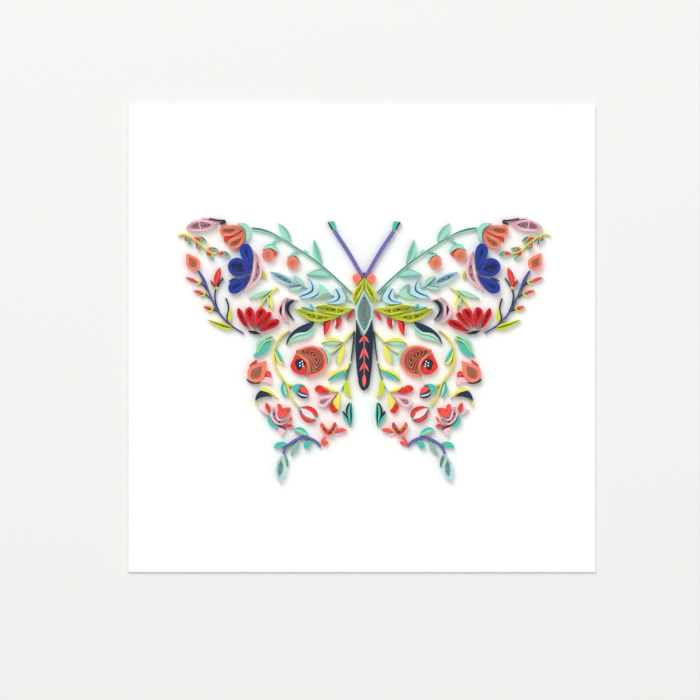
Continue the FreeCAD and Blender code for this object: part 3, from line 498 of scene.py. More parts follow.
def spaced(chain: np.ndarray, shares: np.ndarray) -> np.ndarray:
    """Give the places at shares of a chain's length.

    Args:
        chain: Places along the chain.
        shares: Shares from nought to one.

    Returns:
        A place for each share.
    """
    length = np.concatenate(([0], np.cumsum(np.linalg.norm(np.diff(chain, axis=0), axis=1))))
    wanted = shares * length[-1]
    return np.column_stack([np.interp(wanted, length, chain[:, axis]) for axis in (0, 1)])


class Spine:
    """The middle line of an outline from tip to tip, with its half breadth at each share of it."""

    SHARES = np.linspace(0, 1, 121)
    # Strips stop this share short of the tips, and a square-cut end has sharp turns and a short cut
    SHORT = 0.004
    SQUARE_TURN = 50
    LONGEST_CUT = 0.3

    def __init__(self, rim: np.ndarray, tips: Optional[tuple[Spot, Spot]], start: Optional[Spot],
                 beside: Optional[Spot]) -> None:
        """Split an outline at its tips.

        Args:
            rim: Corners of the outline.
            tips: Spots near the first and the last tip, or None for the two corners furthest apart.
            start: Spot near the first tip.
            beside: Spot near the outline's first side.
        """
        self.blunt = [0.0, 0.0]
        if tips is None:
            rim, first, last = self.far_ends(rim)
        else:
            first, last = (int(np.linalg.norm(rim - np.array(tip), axis=1).argmin()) for tip in tips)
        if start is not None and np.linalg.norm(rim[last] - start) < np.linalg.norm(rim[first] - start):
            first, last = last, first
            self.blunt.reverse()
        around = np.roll(rim, -first, axis=0)
        turn = (last - first) % len(rim)
        one = spaced(rounded(around[:turn + 1]), self.SHARES)
        other = spaced(rounded(np.vstack((around[turn:], around[:1]))[::-1]), self.SHARES)
        if beside is not None:
            middle = len(self.SHARES) // 2
            if np.linalg.norm(other[middle] - beside) < np.linalg.norm(one[middle] - beside):
                one, other = other, one
        self.middle = (one + other) / 2
        self.half = (one - other) / 2
        self.breadth = np.linalg.norm(self.half, axis=1)
        self.length = float(np.linalg.norm(np.diff(self.middle, axis=0), axis=1).sum())
        side = self.length + sum(self.blunt)
        self.first_share = self.blunt[0] / side + self.SHORT
        self.last_share = 1 - self.blunt[1] / side - self.SHORT

    def far_ends(self, rim: np.ndarray) -> tuple[np.ndarray, int, int]:
        """Find the ends furthest apart, each a corner or the middle of a square-cut end.

        Args:
            rim: Corners of the outline.

        Returns:
            The outline with those middles added, and the numbers of its two ends.
        """
        apart = np.linalg.norm(rim[:, None] - rim[None], axis=2)
        ends = [int(number) for number in np.unravel_index(apart.argmax(), apart.shape)]
        runs = np.roll(rim, -1, axis=0) - rim
        heading = np.degrees(np.arctan2(runs[:, 1], runs[:, 0]))
        turn = np.abs((heading - np.roll(heading, 1) + 180) % 360 - 180)
        marks = [rim[end] for end in ends]
        cut_after = {}
        for number, end in enumerate(ends):
            for first in ((end - 1) % len(rim), end):
                second = (first + 1) % len(rim)
                cut = float(np.linalg.norm(runs[first]))
                if min(turn[first], turn[second]) > self.SQUARE_TURN and cut < self.LONGEST_CUT * apart.max():
                    marks[number] = cut_after[first] = (rim[first] + rim[second]) / 2
                    self.blunt[number] = cut / 2
                    break
        corners = []
        for index, corner in enumerate(rim):
            corners.append(corner)
            if index in cut_after:
                corners.append(cut_after[index])
        rim = np.array(corners)
        first, last = (int(np.linalg.norm(rim - mark, axis=1).argmin()) for mark in marks)
        return rim, first, last

    def at(self, share: np.ndarray) -> tuple[np.ndarray, np.ndarray]:
        """Find places along the spine.

        Args:
            share: Shares of the spine's length.

        Returns:
            The middle line's places, and the vectors from them to the first side.
        """
        middle, half = (np.column_stack([np.interp(share, self.SHARES, line[:, axis]) for axis in (0, 1)])
                        for line in (self.middle, self.half))
        return middle, half


@dataclass
class Ribbon:
    """A strip's path with its breadth and its top at each place."""

    places: np.ndarray
    breadth: np.ndarray
    dye: Dye
    top: np.ndarray
    bottom: float


def cut_to(ribbon: Ribbon, piece: Piece) -> list[Ribbon]:
    """Cut a ribbon where it leaves a piece.

    Args:
        ribbon: The strip's path.
        piece: The piece that it may not leave.

    Returns:
        The parts that stay.
    """
    slack = HOLE_SLACK * ribbon.breadth
    keep = inside(ribbon.places, piece.rim) & (edge_distance(ribbon.places, piece.rim) >= slack * RIM_SLACK)
    for hole in piece.holes:
        keep &= ~inside(ribbon.places, hole) & (edge_distance(ribbon.places, hole) >= slack)
    parts = []
    changes = np.nonzero(np.diff(np.concatenate(([False], keep, [False]))))[0]
    for first, last in zip(changes[::2], changes[1::2]):
        if last - first > 1:
            parts.append(Ribbon(ribbon.places[first:last], ribbon.breadth[first:last], ribbon.dye,
                                ribbon.top[first:last], ribbon.bottom))
    return parts


def edge_ribbon(loop: np.ndarray, inset: float, dye: Dye, piece: Piece) -> Ribbon:
    """Bend one strip along an outline.

    Args:
        loop: Corners of the outline.
        inset: How far the strip's middle lies inside the outline.
        dye: The strip's dye.
        piece: The piece that gives the heights.

    Returns:
        The strip's path, closed.
    """
    if area(loop) < 0:
        loop = loop[::-1]
    chain = rounded(np.vstack((loop, loop[:1])))
    run = np.roll(chain[:-1], -1, axis=0) - np.roll(chain[:-1], 1, axis=0)
    run = np.vstack((run, run[:1]))
    run /= np.maximum(np.linalg.norm(run, axis=1), TINY)[:, None]
    places = chain + inset * np.column_stack((-run[:, 1], run[:, 0]))
    count = len(places)
    top = np.full(count, piece.top - EDGE_DROP)
    return Ribbon(places, np.full(count, EDGE_STRIP), dye, top, piece.bottom)


# Fillings: how strips fill an outline

@dataclass(frozen=True)
class Filling:
    """What the fillings share: where the tips lie, and which side comes first."""

    tips: Optional[tuple[Spot, Spot]] = None
    start: Optional[Spot] = None
    beside: Optional[Spot] = None

    def spine(self, piece: Piece) -> Spine:
        """Give the spine of a piece."""
        return Spine(piece.rim, self.tips, self.start, self.beside)

    def ribbons(self, piece: Piece, chance: random.Random) -> list[Ribbon]:
        """Lay the strips of this filling.

        Args:
            piece: The piece to fill.
            chance: Source of small differences.

        Returns:
            The strips' paths.
        """
        raise NotImplementedError


@dataclass(frozen=True)
class Hem(Filling):
    """One strip bent along the rim of a narrow piece."""

    dye: Dye = Dye.MINT

    def ribbons(self, piece: Piece, chance: random.Random) -> list[Ribbon]:
        """Bend the strip along the rim."""
        return [edge_ribbon(piece.rim, EDGE_STRIP / 2, self.dye, piece)]


@dataclass(frozen=True)
class Slats(Filling):
    """Straight strips side by side up the card, with a strip bent along the rim and each hole."""

    dyes: tuple[Dye, ...] = (Dye.NAVY,)
    pitch: float = 0.30
    cover: float = 0.94
    step: float = 0.1
    rim_inset: float = 0.11
    dip: float = 0.04
    scatter: float = 0.12
    wave: float = 0.02
    wave_rate: float = 0.7

    def ribbons(self, piece: Piece, chance: random.Random) -> list[Ribbon]:
        """Lay the strips beside each other and cut them off at the outlines.

        Args:
            piece: The piece to fill.
            chance: Source of small differences.

        Returns:
            The strips' paths.
        """
        low, high = piece.rim.min(axis=0), piece.rim.max(axis=0)
        count = round((high[0] - low[0]) / self.pitch)
        up = np.arange(low[1], high[1], self.step)
        laid = [edge_ribbon(piece.rim, self.rim_inset, self.dyes[0], piece)]
        for index in range(count):
            across = low[0] + (high[0] - low[0]) * (index + 0.5) / count
            top = piece.top - self.dip - chance.uniform(0, self.scatter)
            top = top + self.wave * np.sin(up * self.wave_rate + chance.uniform(0, WAVE_START))
            path = np.column_stack((np.full(len(up), across), up))
            breadth = np.full(len(up), self.pitch * self.cover)
            laid.extend(cut_to(Ribbon(path, breadth, chance.choice(self.dyes), top, piece.bottom), piece))
        laid.extend(edge_ribbon(hole, -EDGE_STRIP / 2, self.dyes[0], piece) for hole in piece.holes)
        return laid


@dataclass(frozen=True)
class Coil(Filling):
    """One strip rolled up: tight turns at the rim, looser ones inside, pinched at the tips."""

    dye: Dye = Dye.CORAL
    # Inner turns, from a share of the reach inwards, take a darker dye of the rim's paper: painted shade of
    # the coil's hollow
    shaded_inner_dye: Optional[Dye] = None
    shaded_inner_from: float = 0.5
    strip: float = 0.17
    rim_share: float = 0.45
    loose_pitch: float = 0.38
    loose_strip: float = 0.19
    split: Optional[Dye] = None
    # Pitch of touching turns in strips, eye left in the middle as a share, and spacing of the path's places
    tight_turn: float = 1.08
    eye: float = 0.12
    step: float = 0.34
    fewest: int = 14
    most: int = 90
    sway: float = 0.05
    scatter: float = 0.10
    # The strip glued across the middle of a split coil
    split_reach: float = 0.62
    split_strip: float = 0.3
    split_dip: float = 0.12
    split_places: int = 7

    def turns(self, spine: Spine, chance: random.Random) -> list[np.ndarray]:
        """Wind the strip turn by turn, from the rim to the eye.

        Args:
            spine: The piece's spine.
            chance: Source of small differences.

        Returns:
            For each turn, rows of share along the spine, signed scale, breadth and dip.
        """
        widest = float(spine.breadth.max())
        reach = widest - self.strip / 2
        drift = chance.uniform(0, WAVE_START)
        turns = []
        while reach > max(self.eye * widest, 0.5 * self.strip):
            tight = reach > widest * (1 - self.rim_share)
            pitch = self.strip * self.tight_turn if tight else self.loose_pitch
            girth = 2 * (spine.length + 2 * widest) * reach / widest
            count = int(min(max(girth / self.step, self.fewest), self.most))
            turn = np.arange(count) / count
            turns.append(np.column_stack((
                np.sin(math.pi * turn) ** 2,
                np.where(turn < 0.5, 1, -1) * (reach - pitch * turn) / widest,
                np.full(count, self.strip if tight else self.loose_strip),
                self.sway * (1 + np.sin(2 * math.pi * turn + drift)) + chance.uniform(0, self.scatter),
            )))
            reach -= pitch
        return turns

    def ribbons(self, piece: Piece, chance: random.Random) -> list[Ribbon]:
        """Bend the turns to the piece's outline and cut them where the colour changes.

        Args:
            piece: The piece to fill.
            chance: Source of small differences.

        Returns:
            The paths of the strip's stretches.
        """
        spine = self.spine(piece)
        turns = self.turns(spine, chance)
        if not turns:
            return []
        share, signed, breadth, dip = np.vstack(turns).T
        core = float(spine.SHARES[spine.breadth.argmax()])
        scale = np.abs(signed)
        middle, _ = spine.at(core + scale * (share - core))
        _, half = spine.at(share)
        places = middle + signed[:, None] * half
        top = piece.top - dip
        # Turns inside that share get the darker dye, which is painted shade
        outer = (scale > self.shaded_inner_from) | (self.shaded_inner_dye is None)
        changes = [0, *(np.nonzero(np.diff(outer))[0] + 1), len(scale)]
        laid = []
        for first, last in zip(changes[:-1], changes[1:]):
            stop = min(last + 1, len(scale))
            if stop - first > 1:
                laid.append(Ribbon(places[first:stop], breadth[first:stop],
                                   self.dye if outer[first] else self.shaded_inner_dye, top[first:stop], piece.bottom))
        if self.split:
            laid.append(self.crossing(spine, core, piece))
        return laid

    def crossing(self, spine: Spine, core: float, piece: Piece) -> Ribbon:
        """Lay the strip that splits the coil across its middle.

        Args:
            spine: The piece's spine.
            core: Share of the spine at which the coil is widest.
            piece: The piece that gives the heights.

        Returns:
            The strip's path.
        """
        middle, half = spine.at(np.array([core]))
        count = self.split_places
        across = np.linspace(-self.split_reach, self.split_reach, count)[:, None] * half
        return Ribbon(middle + across, np.full(count, self.split_strip), self.split,
                      np.full(count, piece.top - self.split_dip), piece.bottom)


@dataclass(frozen=True)
class Layers(Filling):
    """Strips side by side from tip to tip, in bands of colour."""

    dyes: tuple[Dye, ...] = (Dye.MINT,)
    along: tuple[tuple[float, Dye], ...] = ()
    pitch: float = 0.32
    cover: float = 0.96
    thinnest: float = 0.05
    step: float = 0.36
    fewest: int = 8
    most: int = 240
    dip: float = 0.03
    scatter: float = 0.08
    wave: float = 0.02
    wave_rate: float = 9.0

    def ribbons(self, piece: Piece, chance: random.Random) -> list[Ribbon]:
        """Lay the strips beside each other.

        Args:
            piece: The piece to fill.
            chance: Source of small differences.

        Returns:
            A path for each strip, cut where its colour changes along it.
        """
        spine = self.spine(piece)
        count = max(len(self.dyes), round(2 * float(spine.breadth.max()) / self.pitch))
        places = int(min(max(spine.length / self.step, self.fewest), self.most))
        share = np.linspace(spine.first_share, spine.last_share, places)
        middle, half = spine.at(share)
        breadth = np.maximum(2 * np.linalg.norm(half, axis=1) / count * self.cover, self.thinnest)
        stops = [0.0, *(limit for limit, _ in self.along), 1.0]
        laid = []
        for index in range(count):
            dye = self.dyes[int((index + 0.5) / count * len(self.dyes))]
            path = middle + (1 - (2 * index + 1) / count) * half
            scatter = chance.uniform(0.0, self.scatter)
            wave = self.wave * np.sin(share * self.wave_rate + chance.uniform(0, WAVE_START))
            top = piece.top - scatter - self.dip + wave
            for first, last, tone in zip(stops[:-1], stops[1:], [dye, *(later for _, later in self.along)]):
                chosen = np.nonzero((share >= first) & (share <= last))[0]
                if len(chosen) and chosen[-1] < len(share) - 1:
                    chosen = np.append(chosen, chosen[-1] + 1)
                if len(chosen) > 1:
                    laid.append(Ribbon(path[chosen], breadth[chosen], tone, top[chosen], piece.bottom))
        return laid


def bands(*dyes: Dye, **choices) -> Layers:
    """Strips side by side in as many bands as there are dyes."""
    return Layers(dyes=dyes, **choices)


def plain(dye: Dye, count: int = 3) -> Layers:
    """Strips of one dye side by side, at least so many."""
    return Layers(dyes=(dye,) * count)


@dataclass(frozen=True)
class Accent:
    """A loose strip laid in or beside a node's pieces."""

    dye: Dye
    breadth: float
    path: tuple[Spot, ...]
    rise: float = 2.5
    sharpest: float = 100.0
    steps: int = 6

    def ribbon(self) -> Ribbon:
        """Follow the accent's path smoothly.

        Returns:
            The strip's path.
        """
        chain = rounded(np.array(self.path), corner=self.sharpest, steps=self.steps)
        count = len(chain)
        return Ribbon(chain, np.full(count, self.breadth), self.dye, np.full(count, CARD_FACE + self.rise),
                      CARD_FACE)


def ring(centre: Spot, radius: float, corners: int = 10) -> tuple[Spot, ...]:
    """Give the places round a small ring, closed.

    Args:
        centre: Across and up.
        radius: Radius of the ring.
        corners: Places in one turn.

    Returns:
        The places.
    """
    turns = [2 * math.pi * step / corners for step in range(corners + 1)]
    return tuple((centre[0] + radius * math.cos(turn), centre[1] + radius * math.sin(turn)) for turn in turns)


@dataclass(frozen=True)
class Recipe:
    """How one node is dressed: a filling by kind of piece, those of single pieces by a spot in them."""

    slot: str
    coil: Optional[Filling] = None
    leaf: Optional[Filling] = None
    stem: Optional[Filling] = None
    at: tuple[tuple[Spot, Filling], ...] = ()
    accents: tuple[Accent, ...] = ()

    def filling(self, piece: Piece) -> Optional[Filling]:
        """Choose a piece's filling by the width of its strips.

        Args:
            piece: The piece to fill.

        Returns:
            The filling of its kind, if the recipe has one.
        """
        rise = piece.top - piece.bottom
        if rise > COIL_RISE:
            return self.coil
        return self.leaf if rise > LEAF_RISE else self.stem


# Strips raised from their paths

class StripTree:
    """Geometry nodes that raise paths into strips of paper standing on edge."""

    WELD_MM = 0.0005

    def __init__(self, dyes: tuple[Dye, ...]) -> None:
        """Build the tree.

        Args:
            dyes: Dyes in the order of the paths' dye numbers.
        """
        self.tree = bpy.data.node_groups.new("paper_strips", "GeometryNodeTree")
        face = self.tree.interface
        face.new_socket("Paths", in_out="INPUT", socket_type="NodeSocketGeometry")
        self.sizes = [face.new_socket(label, in_out="INPUT", socket_type="NodeSocketFloat").identifier
                      for label in ("Breadth", "Rise")]
        face.new_socket("Strips", in_out="OUTPUT", socket_type="NodeSocketGeometry")
        begin = add_node(self.tree, "NodeGroupInput")
        foot = self.foot(begin.outputs["Paths"], begin.outputs["Breadth"])
        shell = self.shell(foot, begin.outputs["Rise"])
        add_node(self.tree, "NodeGroupOutput", None, {"Strips": self.dressed(shell, dyes)})

    def foot(self, paths: bpy.types.NodeSocket, breadth: bpy.types.NodeSocket) -> bpy.types.NodeSocket:
        """Broaden the paths to the strips' lower edges.

        Args:
            paths: The paths.
            breadth: Factor on every strip's breadth.

        Returns:
            The flat strips.
        """
        shift = add_node(self.tree, "ShaderNodeVectorMath", {"operation": "SCALE"},
                         {0: self.named("across", "FLOAT_VECTOR"), "Scale": breadth})
        back = add_node(self.tree, "ShaderNodeVectorMath", {"operation": "SCALE", "Scale": -0.5},
                        {0: shift.outputs["Vector"]})
        near = add_node(self.tree, "GeometryNodeSetPosition", None,
                        {"Geometry": paths, "Offset": back.outputs["Vector"]})
        broad = add_node(self.tree, "GeometryNodeExtrudeMesh", {"mode": "EDGES", "Offset Scale": 0.0},
                         {"Mesh": near.outputs["Geometry"]})
        foot = add_node(self.tree, "GeometryNodeSetPosition", None,
                        {"Geometry": broad.outputs["Mesh"], "Selection": broad.outputs["Top"],
                         "Offset": shift.outputs["Vector"]})
        return foot.outputs["Geometry"]

    def shell(self, foot: bpy.types.NodeSocket, rise: bpy.types.NodeSocket) -> bpy.types.NodeSocket:
        """Raise the flat strips to closed shells.

        Args:
            foot: The flat strips.
            rise: Factor on every strip's height.

        Returns:
            The shells.
        """
        height = add_node(self.tree, "ShaderNodeMath", {"operation": "MULTIPLY"},
                          {0: self.named("rise", "FLOAT"), 1: rise})
        upwards = add_node(self.tree, "ShaderNodeCombineXYZ", None, {"Z": height.outputs["Value"]})
        raised = add_node(self.tree, "GeometryNodeExtrudeMesh",
                          {"mode": "FACES", "Individual": False, "Offset Scale": 0.0}, {"Mesh": foot})
        walls = add_node(self.tree, "GeometryNodeSetPosition", None,
                         {"Geometry": raised.outputs["Mesh"], "Selection": raised.outputs["Top"],
                          "Offset": upwards.outputs["Vector"]})
        both = add_node(self.tree, "GeometryNodeJoinGeometry", None, {"Geometry": foot})
        self.tree.links.new(walls.outputs["Geometry"], both.inputs["Geometry"])
        shell = add_node(self.tree, "GeometryNodeMergeByDistance", {"Distance": self.WELD_MM * MM},
                         {"Geometry": both.outputs["Geometry"]})
        return shell.outputs["Geometry"]

    def dressed(self, shell: bpy.types.NodeSocket, dyes: tuple[Dye, ...]) -> bpy.types.NodeSocket:
        """Give each strip the paper of its dye number.

        Args:
            shell: The strips.
            dyes: Dyes in the order of their numbers.

        Returns:
            The dressed strips.
        """
        strips = add_node(self.tree, "GeometryNodeRealizeInstances", None, {"Geometry": shell})
        number = self.named("dye", "INT")
        for index, dye in enumerate(dyes):
            # A Compare node holds whole numbers in its sockets 2 and 3
            same = add_node(self.tree, "FunctionNodeCompare",
                            {"data_type": "INT", "operation": "EQUAL", 3: index}, {2: number})
            strips = add_node(self.tree, "GeometryNodeSetMaterial",
                              {"Material": QuillingPaper(dye).material()},
                              {"Geometry": strips.outputs["Geometry"], "Selection": same.outputs["Result"]})
        return strips.outputs["Geometry"]

    def named(self, name: str, kind: str) -> bpy.types.NodeSocket:
        """Read one of the paths' attributes."""
        return add_node(self.tree, "GeometryNodeInputNamedAttribute",
                        {"data_type": kind, "Name": name}).outputs["Attribute"]

    def raise_strips(self, name: str, paths: bpy.types.Mesh) -> bpy.types.Object:
        """Turn a mesh of paths into a finished piece.

        Args:
            name: Name of the piece.
            paths: Edges with the attributes across, rise, dye and tone.

        Returns:
            The piece, a plain mesh with no modifier.
        """
        carrier = bpy.data.objects.new(name + "_paths", paths)
        bpy.context.scene.collection.objects.link(carrier)
        modifier = carrier.modifiers.new("strips", "NODES")
        modifier.node_group = self.tree
        for identifier in self.sizes:
            modifier[identifier] = 1.0
        shown = carrier.evaluated_get(bpy.context.evaluated_depsgraph_get())
        mesh = bpy.data.meshes.new_from_object(shown)
        mesh.name = name
        bpy.data.objects.remove(carrier)
        for spare in ("across", "rise", "dye"):
            if spare in mesh.attributes:
                mesh.attributes.remove(mesh.attributes[spare])
        shell = bmesh.new()
        shell.from_mesh(mesh)
        bmesh.ops.recalc_face_normals(shell, faces=shell.faces)
        for face in shell.faces:
            face.smooth = False
        shell.to_mesh(mesh)
        shell.free()
        piece = bpy.data.objects.new(name, mesh)
        bpy.context.scene.collection.objects.link(piece)
        return piece


def path_mesh(name: str, ribbons: list[Ribbon], side: Side, dyes: tuple[Dye, ...],
              chance: random.Random) -> bpy.types.Mesh:
    """Write ribbons as edges with attributes, in metres.

    Args:
        name: Name of the mesh.
        ribbons: Paths on the wing.
        side: Side of the axis.
        dyes: Dyes in the order of their numbers.
        chance: Source of each strip's tone.

    Returns:
        The mesh of paths.
    """
    places, edges, across, rise, dye, tone = [], [], [], [], [], []
    for ribbon in ribbons:
        flat = np.column_stack((AXIS_X + side.value * ribbon.places[:, 0], ribbon.places[:, 1]))
        heading = np.gradient(flat, axis=0)
        heading /= np.maximum(np.linalg.norm(heading, axis=1), TINY)[:, None]
        normal = np.column_stack((-heading[:, 1], heading[:, 0], np.zeros(len(flat))))
        start = sum(len(part) for part in places)
        count = len(flat)
        places.append(np.column_stack((flat, np.full(count, ribbon.bottom))) * MM)
        edges.append(np.column_stack((np.arange(count - 1), np.arange(1, count))) + start)
        across.append(normal * ribbon.breadth[:, None] * MM)
        rise.append((ribbon.top - ribbon.bottom) * MM)
        dye.append(np.full(count, dyes.index(ribbon.dye)))
        tone.append(np.full(count, chance.uniform(-TONE_SPREAD, TONE_SPREAD)))
    mesh = bpy.data.meshes.new(name)
    mesh.from_pydata(np.vstack(places).tolist(), np.vstack(edges).tolist(), [])
    for label, kind, values in (("across", "FLOAT_VECTOR", across), ("rise", "FLOAT", rise),
                                ("dye", "INT", dye), ("tone", "FLOAT", tone)):
        column = mesh.attributes.new(label, kind, "POINT")
        column.data.foreach_set("vector" if kind == "FLOAT_VECTOR" else "value",
                                np.concatenate(values).reshape(-1))
    return mesh


class PaperWorker:
    """Dresses one node after another."""

    def __init__(self) -> None:
        """Start with no tree built."""
        self.trees: dict[tuple[Dye, ...], StripTree] = {}

    def dress(self, node: str, side: Side, recipe: Recipe) -> None:
        """Replace a node by its strips of paper.

        Args:
            node: Name of the frame's node.
            side: Side of the axis.
            recipe: What the node is made of.

        Raises:
            ValueError: If the recipe leaves a piece with no filling.
        """
        chance = random.Random(node.split("_", 1)[-1])
        pieces = read_pieces(node, side)
        pieces.sort(key=lambda piece: tuple(np.round(piece.rim.mean(axis=0), 1)))
        fillings = [recipe.filling(piece) for piece in pieces]
        for spot, filling in recipe.at:
            nearest = min(range(len(pieces)), key=lambda index: pieces[index].distance(spot))
            fillings[nearest] = filling
        ribbons: list[Ribbon] = []
        for piece, filling in zip(pieces, fillings):
            if filling is None:
                raise ValueError("%s has a piece with no filling" % node)
            ribbons.extend(filling.ribbons(piece, chance))
        ribbons.extend(accent.ribbon() for accent in recipe.accents)
        dyes = tuple(sorted({ribbon.dye for ribbon in ribbons}, key=lambda dye: dye.name))
        if dyes not in self.trees:
            self.trees[dyes] = StripTree(dyes)
        paths = path_mesh(node + "_paths", ribbons, side, dyes, chance)
        worked = self.trees[dyes].raise_strips(node + "_paper", paths)
        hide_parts(node)
        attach(worked, "root")
        LOG.info("%s: %d pieces, %d strips, %d faces", node, len(pieces), len(ribbons),
                 len(worked.data.polygons))


# What each node is made of, on the left wing's measures

@dataclass(frozen=True)
class Ornament:
    """A part of the butterfly, with a recipe for each of its nodes on either side."""

    def recipes(self) -> dict[str, Recipe]:
        """Give the recipe of each node by its name."""
        raise NotImplementedError

    def build(self, worker: PaperWorker) -> None:
        """Dress every node, left and right.

        Args:
            worker: Who dresses them.
        """
        for name, recipe in self.recipes().items():
            worker.dress("left_" + name, Side.LEFT, recipe)
            worker.dress("right_" + name, Side.RIGHT, recipe)


@dataclass(frozen=True)
class Body(Ornament):
    """Thorax, abdomen and head spot, on the axis."""

    line_breadth: float = 0.25
    line: tuple[Spot, ...] = ((0.0, 0.9), (0.0, -5.0), (0.0, -11.4))

    def recipes(self) -> dict[str, Recipe]:
        """Give the recipe of each node on the axis."""
        return {
            "thorax": Recipe(
                "aqua_paper",
                coil=Coil(dye=Dye.AQUA, shaded_inner_dye=Dye.GREY_GREEN, shaded_inner_from=0.8, rim_share=0.22,
                          loose_pitch=0.50, loose_strip=0.25),
            ),
            "head_spot": Recipe("red_paper", leaf=plain(Dye.CRIMSON, 2)),
            "abdomen_sprig": Recipe("coral_paper", leaf=bands(Dye.SCARLET, Dye.CORAL_RED, Dye.SCARLET)),
            "abdomen": Recipe(
                "navy_paper",
                leaf=Slats(dyes=(Dye.NAVY, Dye.NAVY, Dye.DENIM, Dye.MIDNIGHT)),
                accents=(Accent(Dye.CORAL_RED, self.line_breadth, self.line),),
            ),
        }

    def build(self, worker: PaperWorker) -> None:
        """Dress the nodes, which have no twin.

        Args:
            worker: Who dresses them.
        """
        for name, recipe in self.recipes().items():
            worker.dress(name, Side.LEFT, recipe)


@dataclass(frozen=True)
class Head(Ornament):
    """Eyes, antennae and the lime marquises beside the neck."""

    eye_strip: float = 0.15
    blade_strip: float = 0.16

    def recipes(self) -> dict[str, Recipe]:
        """Give the recipe of each node of the head."""
        return {
            "eye": Recipe("coral_paper", coil=Coil(dye=Dye.CORAL, strip=self.eye_strip, rim_share=0.9)),
            "antenna": Recipe(
                "indigo_paper",
                leaf=bands(Dye.INDIGO, Dye.LILAC, Dye.INDIGO),
                at=(((10.2, 36.9), plain(Dye.TEAL, 4)), ((11.1, 36.9), plain(Dye.NAVY, 2))),
            ),
            "shoulder": Recipe(
                "lime_paper",
                coil=Coil(dye=Dye.LIME, shaded_inner_dye=Dye.FERN, strip=self.blade_strip, rim_share=0.5),
            ),
        }


